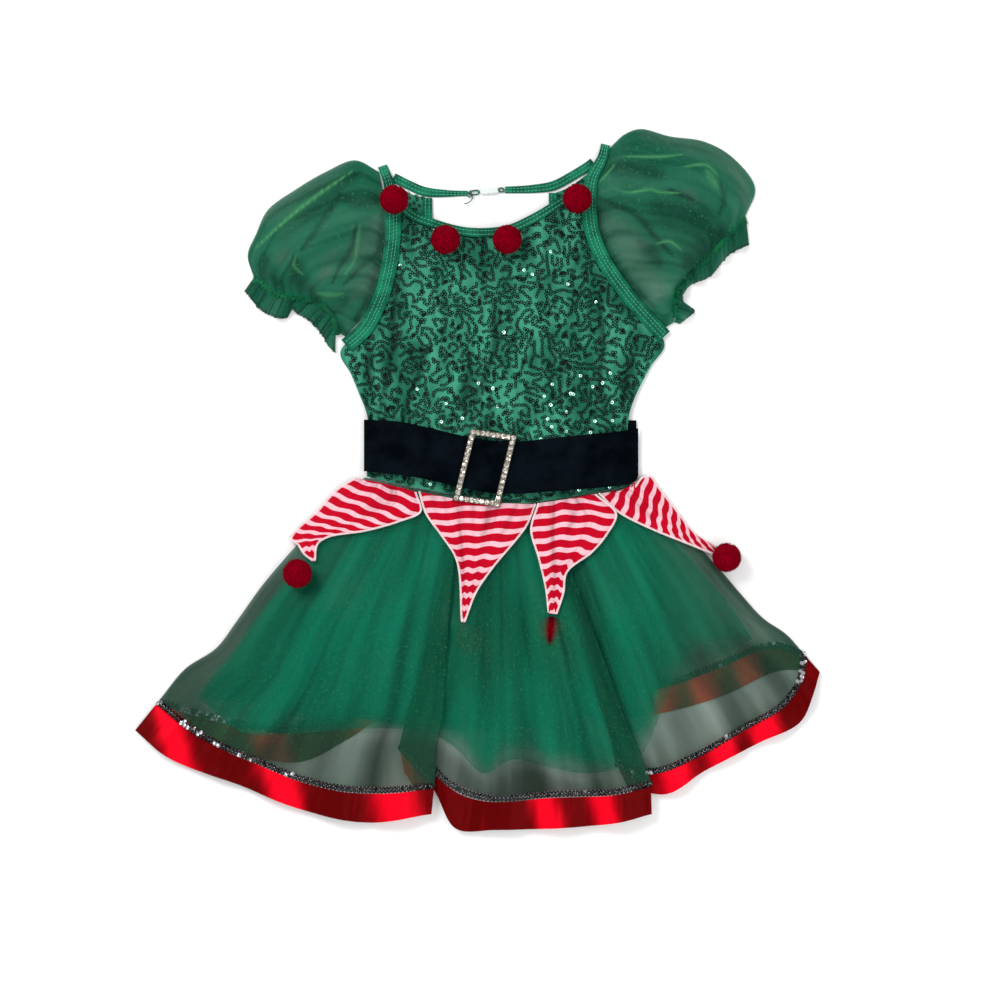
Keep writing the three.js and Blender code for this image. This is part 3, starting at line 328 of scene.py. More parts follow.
def putUv(mesh, uv):
    layer = mesh.uv_layers.new(name="UVMap")
    corner = np.zeros(len(mesh.loops), np.int32)
    mesh.loops.foreach_get("vertex_index", corner)
    layer.data.foreach_set("uv", (uv.reshape(-1, 2)[corner] * mm).astype(np.float32).ravel())


def gridFaces(rows, columns, around=False):
    j, i = np.meshgrid(np.arange(rows - 1), np.arange(columns - (0 if around else 1)), indexing="ij")
    a, b = j * columns + i, j * columns + (i + 1) % columns
    return np.stack([a, a + columns, b + columns, b], -1).reshape(-1, 4)


def ringFaces(rows, sides):
    return np.roll(gridFaces(rows, sides, around=True)[:, ::-1], 1, axis=1)


# A cloth sheet from a grid of points in millimetres
def addSheet(name, points, finish, nodes=(), cut=None, uv=None, marks=None,
             keep=None):
    rows, columns = points.shape[:2]
    faces = gridFaces(rows, columns)
    if keep is not None:
        faces = faces[keep.reshape(-1)]
    p = points.reshape(-1, 3)
    turned = np.cross(p[faces[:, 1]] - p[faces[:, 0]], p[faces[:, 3]] - p[faces[:, 0]])[:, 2].sum() < 0
    if turned:
        faces = faces[:, ::-1]
    piece = addPiece(name, p, faces, finish, nodes)
    mesh = piece.data
    if uv is None:
        acrossRun = np.linalg.norm(np.diff(points, axis=1), axis=2).mean(0)
        downRun = np.linalg.norm(np.diff(points, axis=0), axis=2).mean(1)
        u = np.concatenate([[0], np.cumsum(acrossRun)])
        v = np.concatenate([[0], np.cumsum(downRun)])
        uv = np.stack(np.meshgrid(u, v), -1)
    putUv(mesh, uv)
    for mark, values in (marks or {}).items():
        kept = mesh.attributes.new(mark, "FLOAT", "POINT")
        kept.data.foreach_set("value", np.asarray(values, np.float32).ravel())
    if cut:
        width, length, share = cut
        width * mm
        length * mm
        width * length * share * 1e-6
    return piece


# Many copies of one small shape, each at its place with its own three directions
def addMany(name, shape, spots, finish, nodes=(), smooth=True):
    verts, faces = np.array(shape[0], float), shape[1]
    places = np.array([s[0] for s in spots], float)
    turns = np.array([s[1] for s in spots], float)
    moved = np.einsum("vk,nkc->nvc", verts, turns) + places[:, None, :]
    size = len(verts)
    every = (np.array(faces)[None] + (np.arange(len(spots)) * size)[:, None, None]).reshape(-1, 4)
    return addPiece(name, moved.reshape(-1, 3), every, finish, nodes, smooth)


def circle(sides):
    return [(math.cos(2 * math.pi * k / sides), math.sin(2 * math.pi * k / sides)) for k in range(sides)]


def ringShape(rings, sides):
    verts = [(radius * c, radius * s, height) for radius, height in rings for c, s in circle(sides)]
    return verts, ringFaces(len(rings), sides)


def threadShape(length, thick, sides=5):
    stops = [(-0.5, 0.25), (-0.28, 1.0), (0.28, 1.0), (0.5, 0.25)]
    verts = []
    for along, size in stops:
        verts += [(along * length, 0.5 * thick * size * c, 0.5 * thick * size * s) for c, s in circle(sides)]
    return verts, ringFaces(len(stops), sides)


def facing(normal, along):
    n = np.array(normal, float)
    n = n / np.linalg.norm(n)
    x = np.array(along, float) - np.dot(along, n) * n
    x = x / np.linalg.norm(x)
    return np.array([x, np.cross(n, x), n])


class Ground:
    # Heights of a finished grid, looked up by plan position
    def __init__(self, points):
        p = points.reshape(-1, 3)
        self.tree = BVHTree.FromPolygons([Vector(q) for q in p], gridFaces(*points.shape[:2]).tolist())

    def under(self, x, y):
        hit, normal, _, _ = self.tree.ray_cast(Vector((x, y, 200)), Vector((0, 0, -1)))
        if hit is None:
            return None, None
        normal = np.array(normal) * (1 if normal.z > 0 else -1)
        return hit.z, normal


# Outer lines of the dress, in millimetres from the middle of the waist
waist = [(-131, -27), (-98, -35), (-60, -42), (-20, -50), (17, -53), (56, -48), (94, -41), (123, -36)]
waistLine = Line(*waist)
skirtLeft = Line((-131, -27), (-151, -41), (-196, -91), (-230, -131), (-255, -166), (-274, -191),
                 (-304, -211), (-328, -240))
skirtRight = Line((123, -36), (152, -57), (204, -110), (228, -138), (250, -162), (273, -178), (289, -196))
backSeam = Line(
    (-328, -240), (-246, -262), (-200, -266), (-165, -246), (-120, -224), (-40, -228), (60, -231),
    (152, -224), (206, -205), (258, -186), (289, -196))
backEdge = Line(
    (-352, -270), (-248, -294), (-192, -300), (-147, -278), (-112, -258), (-40, -263), (64, -266),
    (160, -252), (214, -236), (266, -213), (305, -214))
innerWaist = Line((-119, -33), (-98, -37), (-60, -44), (-20, -52), (17, -55), (56, -50), (94, -43),
                  (111, -41))
innerLeft = Line((-119, -33), (-151, -62), (-194, -112), (-230, -155), (-259, -197), (-276, -216),
                 (-292, -238))
innerRight = Line((111, -41), (154, -76), (190, -116), (222, -155), (240, -182))
innerFrontHem = Line(
    (-292, -238), (-247, -272), (-200, -273), (-127, -268), (-70, -272), (-44, -287), (-18, -311), (10, -298),
    (40, -304), (84, -311), (128, -299), (154, -250), (180, -190), (240, -182))
innerBackHem = Line((-292, -238), (-180, -252), (-60, -268), (56, -265), (150, -230), (240, -182))
sections = [
    {"columns": 20, "flutes": 5, "hidden": 0, "waist": (0, 0.36),
     "seam": Line((-328, -240), (-285, -272), (-230, -298), (-175, -318), (-125, -324), (-66, -320)),
     "edge": Line((-352, -270), (-318, -297), (-252, -322), (-194, -345), (-130, -358), (-69, -350))},
    {"columns": 18, "flutes": 4, "hidden": 2, "waist": (0.39, 0.66),
     "seam": Line((-97, -284), (-74, -296), (-52, -316), (-16, -331), (55, -327), (100, -326), (141, -318)),
     "edge": Line((-92, -312), (-68, -324), (-44, -364), (-6, -365), (60, -363), (110, -358), (142, -350))},
    {"columns": 17, "flutes": 4, "hidden": 2, "waist": (0.69, 1),
     "seam": Line((110, -300), (140, -307), (182, -294), (230, -266), (268, -243), (283, -222), (289, -196)),
     "edge": Line((122, -324), (157, -331), (194, -309), (248, -281), (286, -262), (298, -236), (305, -214))},
]
fold = {"radius": 1.5, "back": 30.0, "rise": 6.0, "flute": 6.0, "lift": 1.3, "over": 7.4}
backTents = [(-125, -164), (136, -164)]
frontTents = [(-31, -181), (47, -174)]


def tent(x, y, spots, wide, tall):
    total = np.zeros_like(x)
    for a, b in spots:
        away = ((x - a) / wide) ** 2 + ((y - b) / tall) ** 2
        total += np.where(away < 1, 23 * (1 - away) ** 2, 0)
    return total


# Organza, in two strengths; folds read darker, as denser cloth where more cloth lies on itself and as painted
# shade in their colour
organza = {"rough": 0.5, "speckAndHighlight": rgb(96, 176, 110), "floorToneAndShadow": rgb(30, 42, 34), "bump": 0.5}


def organzaFinish(name, alpha, light, deep):
    made = Finish(name, {"Roughness": organza["rough"], "Sheen Weight": 0.02, "Specular IOR Level": 0.06})
    streak = made.noise(made.place((34, 5, 1), flat=True), 1.0, 4)
    # Colour runs from light to deep by random radial streaks and by the fold mark, which paints shade into
    # the folds
    shade = made.share(streak - made.own("fold") * 0.4, 0.12, 0.66)
    grain = made.noise(made.place((1500, 1500, 1), flat=True), 1.0, 2)
    speck = made.share(made.noise(made.place((380, 380, 1), flat=True), 1.0, 5), 0.56, 0.74) * 0.3
    # The highlight mark lifts the colour to a lighter green (painted highlight, with random lighter specks);
    # the bare-floor mark greys it where the sheer lies over bare floor (grey floor tone and painted shadow)
    cloth = made.blend(made.own("paintedHighlight") + speck, made.blend(shade, deep, light), organza["speckAndHighlight"])
    made.drive("Base Color", made.blend(made.own("floorToneAndShadow"), cloth, organza["floorToneAndShadow"]))
    weave = made.share(grain, 0.35, 0.65, -0.05, 0.05)
    veil = made.own("fold") * 0.2 + made.own("floorToneAndShadow") * 0.36 + made.own("paintedHighlight") * 0.2 - made.own("thin")
    made.drive("Alpha", weave + veil + made.share(streak, 0.3, 0.7, alpha + 0.10, alpha - 0.08))
    made.raised(made.noise(made.place((120, 14, 1), flat=True), 1.0, 4), organza["bump"], 0.0012)
    return made


sheer = organzaFinish("sheerOrganza", 0.46, rgb(12, 98, 70), rgb(0, 52, 38))
sheerBack = organzaFinish("sheerOrganzaBack", 0.42, rgb(12, 98, 70), rgb(0, 52, 38))
dense = organzaFinish("denseOrganza", 0.92, rgb(0, 144, 112), rgb(0, 88, 68))
sleeveCloth = organzaFinish("sleeveOrganza", 0.64, rgb(4, 108, 78), rgb(0, 58, 42))


def skirtColumns(fine):
    rows = []
    for n, s in enumerate(sections):
        last = n == len(sections) - 1
        for k in range(s["columns"] * fine + 1):
            q = k / fine
            t = q / s["columns"]
            shown = max(0, (q - s["hidden"]) / (s["columns"] - s["hidden"]))
            stacked = (not last and q > s["columns"] - 3.2) or (n and q < s["hidden"] + 1.2)
            flute = 0.5 - 0.5 * math.cos(2 * math.pi * s["flutes"] * shown)
            place = [mix(*s["waist"], t), *s["seam"].at(t), *s["edge"].at(t)]
            rows.append([*place, 0, 0 if last else t, flute, stacked])
        if last:
            break
        after = sections[n + 1]
        bend = math.pi * fold["radius"]
        flat = fold["back"] / bend
        turns = [*np.linspace(0.12, 1, 8), *np.linspace(1, 1 + flat, 7)[1:],
                 *np.linspace(1 + flat, 1.88 + flat, 8)[1:]]
        for turn in turns:
            first, second = min(turn, 1) * math.pi, max(0, turn - 1 - flat) * math.pi
            back = min(max(turn - 1, 0), flat) / flat
            share = turn * bend / (2 * bend + fold["back"])
            bulge = fold["radius"] * (math.sin(first) - math.sin(second))
            drop = fold["radius"] * (2 - math.cos(first) - math.cos(second)) / fold["rise"]
            seam, edge = [mix(s[key].at(1.0), after[key].at(0.0), back) for key in ("seam", "edge")]
            place = [mix(s["waist"][1], after["waist"][0], share), *seam, *edge]
            rows.append([*place, bulge, 1 - drop, 0, True])
    return np.array(rows, float)


columns = skirtColumns(9)


def outerFront(c, down):
    waist, level, flute = c[:, 0][None], c[:, 6][None], c[:, 7][None]
    v = down[:, None]
    start = waistLine.at(c[:, 0])[None]
    x, y = [start[..., k] * (1 - v) + c[None, :, 1 + k] * v for k in (0, 1)]
    for side, u in ((skirtLeft, 1 - waist), (skirtRight, waist)):
        bow = side.at(down) - (side.ends[0] * (1 - v) + side.ends[1] * v)
        x, y = x + bow[:, :1] * u ** 2, y + bow[:, 1:] * u ** 2
    x = x + c[:, 5][None] * ease(0.05, 0.2, v)
    inside = ease(0, 0.035, waist) * ease(0, 0.035, 1 - waist)
    over = fold["over"] * mix(0.72, 1, ease(0, 0.3, v)) * mix(1, 0.45, ease(0.8, 1, v))
    z = 0.5 + 1.4 * ease(-215, -165, y) + fold["lift"] + inside * (over - fold["lift"])
    z = z + tent(x, y, backTents, 104, 84) + tent(x, y, frontTents, 46, 74)
    z = z + fold["rise"] * level * ease(0.05, 0.24, v) + fold["flute"] * flute * v ** 0.8
    return np.stack([x, y, z], -1)


def liftOnto(node, points, stacked, half=0.5):
    shown = np.where(~stacked)[0]
    top = topOf(node, points[:, shown, 0], points[:, shown, 1]) - half
    lift = fill(top - points[:, shown, 2])
    every = np.arange(points.shape[1])
    whole = np.stack([np.interp(every, shown, row) for row in lift])
    points[..., 2] += soften(whole, 4)
    return points


veils = [  # denser over the two hidden pompoms, with a slit over one of them
    (34, -0.34, (-31, -172), (-31, -190)), (34, -0.4, (47, -166), (47, -184)),
    (6, 1.0, (48, -155), (46.5, -170), (45.5, -184)),
]


def makeOuterFront():
    down = np.concatenate([np.linspace(0.002, 0.2, 24), np.linspace(0.2, 1, 62)[1:]])
    points = liftOnto("skirt_outer_front", outerFront(columns, down), columns[:, 8] > 0)
    run = runOf(columns[:, 1:3])
    around, v = run[None] / run[-1], down[:, None]
    free = (1 - ease(0.2, 1, columns[:, 8][None])) * ease(0.0, 0.04, around) * ease(0, 0.04, 1 - around)
    gathers = ripple(around, (61, 83, 97), 3) * np.exp(-v / 0.11) * 1.1
    soft = ripple(around, (19, 27, 34), 5) * (0.25 + 0.55 * v)
    points[..., 2] += (gathers + soft) * (0.3 + 0.7 * free)
    seamPoints = points[-1].copy()
    flute = columns[:, 7][None]
    x, y = points[..., 0], points[..., 1]
    # Where no underskirt lies beneath, the bare-floor mark greys the sheer: grey floor tone and painted
    # shadow
    bare = np.isnan(topOf("underskirt_front", x, y)).astype(float) * ease(0.3, 0.5, v)
    middle = np.exp(-((x - 10) / 80) ** 2)
    floorToneAndShadow = soften(bare, 8) * (0.55 + 0.4 * middle + 0.2 * ripple(around, (9, 13, 22), 8))
    # Fold mark: painted shade in the troughs between the flutes, growing towards the hem, at the waist
    # gathers and in the troughs of the soft ripples
    mark = (1 - flute) * 0.45 * v + 0.5 * np.exp(-v / 0.07)
    mark = mark + 0.35 * np.clip(-ripple(around, (19, 27, 34), 5), 0, 1)
    uv = np.stack(np.broadcast_arrays(run[None] * 1.0, v * 290.0), -1)
    addSheet("outerSkirtFront", points, sheer, ["skirt_outer_front"], cut=(880, 290, 0.66), uv=uv,
             marks={"fold": np.clip(mark, 0, 1), "floorToneAndShadow": floorToneAndShadow, "thin": strokes(x, y, veils)})
    print("outer skirt front", points.shape)
    return seamPoints


def makeLayer(name, node, plan, size, finish, cut, waves, rise, seed):
    u, v = grid(*size)
    flat = plan(u, v)
    z = soften(fill(topOf(node, flat[..., 0], flat[..., 1])), 5) - 0.5
    z = z + ripple(u, waves, seed) * rise * (0.3 + 0.7 * v)
    points = np.dstack([flat, np.maximum(z, 0.12)])
    # Fold mark: painted shade in the troughs of the ripples
    mark = np.clip(-ripple(u, waves, seed), 0, 1) * 0.6
    under = "under" in node
    rim = np.minimum(7 * np.minimum(u, 1 - u), 11 * (1 - v)) + 0.35 * ripple(u, (5, 9, 14), seed + 1)
    bare = 0.42 * (1 - ease(0, 1, rim)) + 0.34 * ease(126, 164, flat[..., 0])
    thin = (bare + 0.08 * ripple(u + 0.1 * v, (4, 7), 3)) * under
    uv = np.stack([u * cut[0], v * cut[1]], -1)
    return addSheet(name, points, finish, [node], cut=cut, uv=uv,
                    marks={"fold": mark, "thin": np.clip(thin, 0, 0.6)})


def makeSkirt():
    outerPlan = patch(waistLine, backSeam, skirtLeft, skirtRight)
    makeLayer("outerSkirtBack", "skirt_outer_back", outerPlan, (200, 60), sheerBack, (640, 230, 0.72),
              (15, 23), 0.15, 2)
    backPlan = patch(innerWaist, innerBackHem, innerLeft, innerRight)
    makeLayer("underskirtBack", "underskirt_back", backPlan, (200, 70), dense, (540, 240, 0.70), (13, 21),
              0.15, 4)
    frontPlan = patch(innerWaist, innerFrontHem, innerLeft, innerRight)
    makeLayer("underskirtFront", "underskirt_front", frontPlan, (260, 80), dense, (560, 260, 0.70),
              (9, 17, 29), 0.3, 6)
    return makeOuterFront()


# Hem: satin ribbon with its trim of sequins and chain
hem = {"trim": 6.0, "wide": 36.0, "step": 1.9, "sequin": 2.7, "silver": 0.5}
glowBands = [  # where the satin catches the light, from and to
    (-326, -302), (-238, -206), (-140, -92), (16, 36), (72, 92), (140, 176), (194, 224), (242, 266),
]


def satinFinish():
    made = Finish("redSatin", {"Roughness": 0.38, "Specular IOR Level": 0.05, "Metallic": 0.35})
    streak = made.noise(made.place((70, 14, 1), flat=True), 1.0, 3)
    # Painted highlight: bright red bands where the satin catches the light and darker red between, with
    # random streaks
    lit = made.share(made.own("paintedHighlight") + (streak - 0.5) * 0.7, 0.0, 1.05)
    made.drive("Base Color", made.blend(lit, rgb(92, 0, 2), rgb(246, 4, 34)))
    ribs = (made.along("X") * 5200.0).wave() * 0.12
    made.raised(made.noise(made.place((90, 25, 1), flat=True), 1.0, 3) + ribs, 0.3, 0.0012)
    return made


satin = satinFinish()
sequinLook = {"Base Color": rgb(6, 8, 10), "Roughness": 0.3, "Specular IOR Level": 0.3}
blackSequin = Finish("blackSequin", sequinLook)
silver = Finish("silverThread", {"Base Color": rgb(188, 190, 194), "Roughness": 0.25, "Metallic": 1.0})


def makeRibbon(name, node, top, bottom, zTop, zBottom, share, cut, amount, seed):
    v = np.linspace(share, 1, 12)[:, None]
    xy = top[None] * (1 - v[..., None]) + bottom[None] * v[..., None]
    z = mix(zTop[None], zBottom[None], v)
    run = runOf(bottom)
    across = np.sin(np.pi * np.clip((v - share) / (1 - share), 0, 1))
    wave = ripple(run[None] / run[-1], (21, 34, 55), seed) * amount * across
    points = np.dstack([xy, np.maximum(z + wave + 0.5 * amount, 0.3)])
    uv = np.stack(np.broadcast_arrays(run[None], v * 38.0), -1)
    # Painted highlight bands along the hem, one for each of glowBands
    x = points[..., 0] + 0.25 * points[..., 1] + 70
    paintedHighlight = sum(np.exp(-((x - (low + high) / 2) / (0.36 * (high - low) + 6)) ** 2) for low, high in glowBands)
    return addSheet(name, points, satin, [node], cut=cut, uv=uv, marks={"paintedHighlight": paintedHighlight})


def trimAlong(name, node, path):
    # Overlapping discs, black with some silver, and a fine glint line down their middle
    run = runOf(path)
    count = int(run[-1] / hem["step"])
    blacks, greys, glints = [], [], []
    for k in range(count):
        s = (k + 0.5) / count * run[-1]
        here, ahead = pick(path, run, s, s + 1.5)
        along = ahead - here if np.linalg.norm(ahead - here) > 0.1 else np.array([1.0, 0, 0])
        along /= np.linalg.norm(along)
        side = 1 if k % 2 else -1
        tip = 0.42 * along * (1 + 0.25 * chance.normal())
        up = np.array([0, 0, 1.0]) + tip + 0.12 * chance.normal(size=3)
        across = np.cross([0, 0, 1.0], along)
        silvery = hem["silver"] if -309 < here[0] < -261 or abs(here[0] + 22) > 305 else 0.03
        laid = (here + across * side * 1.35 + [0, 0, 0.75], facing(up, along))
        (greys if chance.random() < silvery else blacks).append(laid)
        if chance.random() < 0.62:
            lean = along + across * side * 0.8
            glints.append((here + across * 0.45 * side + [0, 0, 1.75], facing([0, 0, 1.0], lean)))
    disc = ringShape([(0.2, 0.0), (1.3, 0.1), (hem["sequin"] * 0.78, 0.32)], 8)
    addMany(name, disc, blacks, blackSequin, [node])
    addMany(name + "Silver", disc, greys, silver)
    addMany(name + "Glints", threadShape(1.9, 0.5, 4), glints, silver)


def makeHems(seam):
    share = hem["trim"] / hem["wide"]
    edge = columns[:, 3:5] + np.stack([columns[:, 5], np.zeros(len(columns))], -1)
    low = 1.8 + (seam[:, 2] - 1.8) * 0.9
    makeRibbon("hemRibbonFront", "hem_ribbon_front", seam[:, :2], edge, seam[:, 2], low, share + 0.02,
               (720, 31, 1.0), 1.0, 9)
    mid = share * 0.5
    path = np.column_stack([mix(seam[:, :2], edge, mid), mix(seam[:, 2], low, mid)])
    trimAlong("hemTrimFront", "hem_trim_front", path)
    t = np.linspace(0, 1, 420)
    top, bottom = backSeam.at(t), backEdge.at(t)
    rows = [topOf("hem_ribbon_back", *mix(top, bottom, v).T[:, None]) for v in (share + 0.06, 0.95)]
    zTop, zBottom = [soften(fill(row), 6)[0] - 0.6 for row in rows]
    makeRibbon("hemRibbonBack", "hem_ribbon_back", top, bottom, zTop, zBottom, share + 0.02, (650, 31, 1.0),
               0.15, 12)
    trimAlong("hemTrimBack", "hem_trim_back", np.column_stack([mix(top, bottom, mid), zTop - 0.2]))
    print("hems")


seamOfFront = makeSkirt()
makeHems(seamOfFront)


# Knit of the bodice, with sequins in winding lines
bodice = {"sequin": 1.66, "pitch": 3.0, "clear": 3.9, "tight": 3.2, "apart": 3.4, "count": 6900,
          "tries": 14000, "early": 2500, "fewest": 5, "strap": 900, "bright": 0.009, "lift": 0.42}


def knitFinish():
    made = Finish("greenKnit", {"Roughness": 0.62, "Specular IOR Level": 0.06})
    tone = made.noise(made.place((60, 25, 60)), 1.0, 4)
    ground = made.blend(made.share(tone, 0.3, 0.7), rgb(22, 88, 68), rgb(60, 144, 115))
    # The fold mark paints shade into the creases, blending towards a dark green
    made.drive("Base Color", made.blend(made.own("fold") * 0.85, ground, rgb(0, 34, 28)))
    rib = made.ribs(7000.0, 0.5, 6200.0, 0.3, flat=False)
    made.raised(rib + made.noise(made.place(), 500.0, 2), 0.35, 0.0004)
    return made


knit = knitFinish()
neckline = [(-102, 243), (-88, 226), (-65, 216), (-32, 208), (4, 210), (30, 221), (58, 238), (78, 252)]
creases = [  # where, depth, width, top, bottom
    (-112, 1.3, 6, 95, 30), (-100, 1.1, 5, 80, 28), (-16, 1.7, 8, 120, 20), (-6, 0.9, 5, 75, 20),
    (30, 0.7, 9, 60, 10), (93, 1.6, 8, 115, 15), (104, 0.9, 5, 85, 15), (-60, 0.8, 9, 70, 15),
]
bodiceFolds = [  # drawn creases, each (width, amount, points)
    (4.5, 1.0, (-96, 176), (-103, 140), (-105, 100), (-112, 62), (-118, 30)),
    (4, 0.9, (-70, 100), (-80, 72), (-90, 46), (-94, 28)),
    (3.5, 0.9, (-9, 136), (-7, 106), (-12, 80), (-24, 52), (-28, 26)),
    (5, 0.8, (-30, 84), (-34, 56), (-36, 28)),
    (4.5, 0.9, (92, 150), (97, 110), (94, 70), (98, 28)), (3, 0.6, (60, 92), (56, 62), (58, 30)),
    (5, 0.7, (-128, 104), (-128, 76), (-124, 46)), (5, 0.7, (122, 112), (122, 80), (116, 44)),
]


def makeBodiceFront():
    top = Line(*[(x, y - 1) for x, y in neckline])
    bottom = Line(*[(x, y + 0.5) for x, y in waist])
    left = Line((-102, 242), (-105, 204), (-110, 162), (-124, 124), (-155, 93), (-145, 72), (-137.5, 54),
                (-129, 30), (-129.5, -26.5))
    right = Line((78, 251), (80, 222), (96, 180), (122, 139), (156, 101), (142, 78), (122, 32), (123, -35.5))
    u, v = grid(150, 160)
    flat = patch(top, bottom, left, right)(u, v)
    x, y = flat[..., 0], flat[..., 1]
    z = soften(fill(topOf("bodice_front", x, y)), 10) - 0.5
    body = 1 - np.abs(2 * u - 1) ** 4
    for at, depth, width, high, lowest in creases:
        inside = ease(lowest - 25, lowest, y) * (1 - ease(high - 35, high, y))
        ridge, trough = [np.exp(-(((x - at - aside * width) / width) ** 2)) for aside in (0, 1.6)]
        z = z + depth * inside * (ridge - 0.45 * trough)
    z = z + body * 0.35 * (np.sin(x * 0.045 + 1.5 * np.sin(y * 0.021)) + np.sin(x * 0.083 - y * 0.03))
    # The drawn creases are sunk, and the fold mark paints shade along them
    dark = strokes(x, y, bodiceFolds)
    points = np.dstack([flat, z - 1.1 * dark])
    addSheet("bodiceFront", points, knit, ["bodice_front"], cut=(300, 300, 0.80),
             marks={"fold": np.clip(dark, 0, 1)})
    return points


keyholeMiddle, keyholeReach = -11, 60.5


def makeBodiceBack():
    left = Line((-107.5, 253), (-104, 226), (-107, 185), (-119, 138), (-153, 95), (-137, 54), (-129, 30),
                (-128.4, -26.5))
    right = Line((85.5, 266), (79, 226), (90, 190), (112, 152), (154, 101), (141, 77), (122, 32),
                 (123, -35.5))
    u, v = grid(150, 150)
    flat = patch(Line((-107.5, 255), (-75, 243.8), (53, 248.6), (85.5, 268)), waistLine, left, right)(u, v)
    raw = topOf("bodice_back", flat[..., 0], flat[..., 1] - 9 * (1 - ease(0.02, 0.12, v)))
    z = np.maximum(soften(fill(raw), 4) - 0.4, 0.2)
    there = ~np.isnan(raw) | ((v < 0.08) & (np.abs(flat[..., 0] - keyholeMiddle) > keyholeReach + 1.5))
    keep = there[:-1, :-1] & there[1:, :-1] & there[:-1, 1:] & there[1:, 1:]
    points = np.dstack([flat, z])
    addSheet("bodiceBack", points, knit, ["bodice_back"], cut=(300, 290, 0.72),
             keep=keep)
    return points, there


def sequinFinish():
    made = Finish("darkSequin", {"Roughness": 0.35, "Specular IOR Level": 0.08})
    each = made.cells(made.place(), 330.0, "Color")
    pick = made.node("ShaderNodeSeparateColor", inputs=[each])
    made.drive("Base Color", made.blend(made.share(pick, 0.55, 1.0), rgb(1, 6, 6), rgb(6, 34, 27)))
    return made


def windingLines(inside, low, high):
    # Lines of touching discs that wander and never cross, until the cloth is full
    cell, used, spots = bodice["clear"], {}, []

    def near(x, y, skip):
        a, b, least = int(x // cell), int(y // cell), 99.0
        for i in (a - 1, a, a + 1):
            for j in (b - 1, b, b + 1):
                for k in used.get((i, j), ()):
                    if k not in skip:
                        least = min(least, math.hypot(spots[k][0] - x, spots[k][1] - y))
        return least

    tries = 0
    while len(spots) < bodice["count"] and tries < bodice["tries"]:
        tries += 1
        x, y = chance.uniform(low[0], high[0]), chance.uniform(low[1], high[1])
        gap = bodice["clear"] if tries < bodice["early"] else bodice["tight"]
        if not inside(x, y) or near(x, y, ()) < gap:
            continue
        heading, line = chance.uniform(0, 2 * math.pi), []
        bend, length = 0.0, int(chance.integers(7, 34))
        while len(line) < length:
            spots.append((x, y, heading))
            used.setdefault((int(x // cell), int(y // cell)), []).append(len(spots) - 1)
            line.append(len(spots) - 1)
            bend = 0.55 * bend + 0.45 * chance.normal() * 1.9
            best, choice = 0, None
            for turn in (bend, bend + 0.5, bend - 0.5, bend + 1.0, bend - 1.0):
                a = heading + turn
                p, q = x + bodice["pitch"] * math.cos(a), y + bodice["pitch"] * math.sin(a)
                room = near(p, q, line[-4:])
                if inside(p, q) and room >= bodice["apart"] and (choice is None or room > best + 1.5):
                    best, choice = room, (p, q, a)
            if choice is None:
                break
            x, y, heading = choice
        if len(line) < bodice["fewest"]:  # a line that found no room is taken out again
            for k in line[::-1]:
                a, b, _ = spots.pop()
                used[int(a // cell), int(b // cell)].remove(k)
    return spots


def strapSpots(backPoints, backThere, insideFront):
    # Discs on the back's two straps, where the front doesn't cover them
    strap, placed = Ground(backPoints), []
    for _ in range(bodice["strap"]):
        x, y = chance.uniform(-112, 90), chance.uniform(205, 262)
        z, normal = strap.under(x, y)
        away = (backPoints[..., 0] - x) ** 2 + (backPoints[..., 1] - y) ** 2
        cloth = backThere[np.unravel_index(np.argmin(away), away.shape)]
        taken = any(math.hypot(s[0][0] - x, s[0][1] - y) < bodice["apart"] for s in placed)
        if z is not None and cloth and not taken and not insideFront(x, y) and -100 < x < 78:
            up = normal + 0.15 * chance.normal(size=3) * [1, 1, 0]
            placed.append(((x, y, z + 0.4), facing(up, [1, 0, 0])))
    return placed


def makeSequins(frontPoints, backPoints, backThere):
    ground = Ground(frontPoints)
    spots, glints = [], []

    def insideFront(x, y):
        around = ((0, 0), (-2.4, 0), (2.4, 0), (0, 2.4), (0, -2.2))
        return all(ground.under(x + a, y + b)[0] is not None for a, b in around)

    for x, y, heading in windingLines(insideFront, (-158, -52), (158, 252)):
        z, normal = ground.under(x, y)
        up = normal + 0.16 * chance.normal(size=3) * [1, 1, 0]
        tilt = facing(up, [math.cos(heading), math.sin(heading), 0])
        # Painted glints: a few sequins, most of them towards the lower right, are made bright and glowing
        lowerRight = ease(-20, 60, x) * (1 - ease(20, 90, y)) + 0.25 * (1 - ease(40, 110, y))
        glint = chance.random() < bodice["bright"] * (0.3 + 5 * lowerRight)
        (glints if glint else spots).append(((x, y, z + bodice["lift"]), tilt))
    spots += strapSpots(backPoints, backThere, insideFront)
    cup = ringShape([(0.78, 0.02), (1.15, 0.2), (bodice["sequin"], 0.24)], 7)
    addMany("bodiceSequins", cup, spots, sequinFinish())
    # Painted glints: pale metallic sequins that also glow
    white = Finish("paintedGlintSequin", {"Base Color": rgb(196, 246, 232), "Roughness": 0.12, "Metallic": 0.8})
    white.shader.inputs["Emission Color"].default_value = rgb(200, 255, 240)
    white.shader.inputs["Emission Strength"].default_value = 0.35
    addMany("bodiceGlints", cup, glints, white)
    print("sequins", len(spots), len(glints))


frontOfBodice = makeBodiceFront()
backOfBodice, backThere = makeBodiceBack()
makeSequins(frontOfBodice, backOfBodice, backThere)


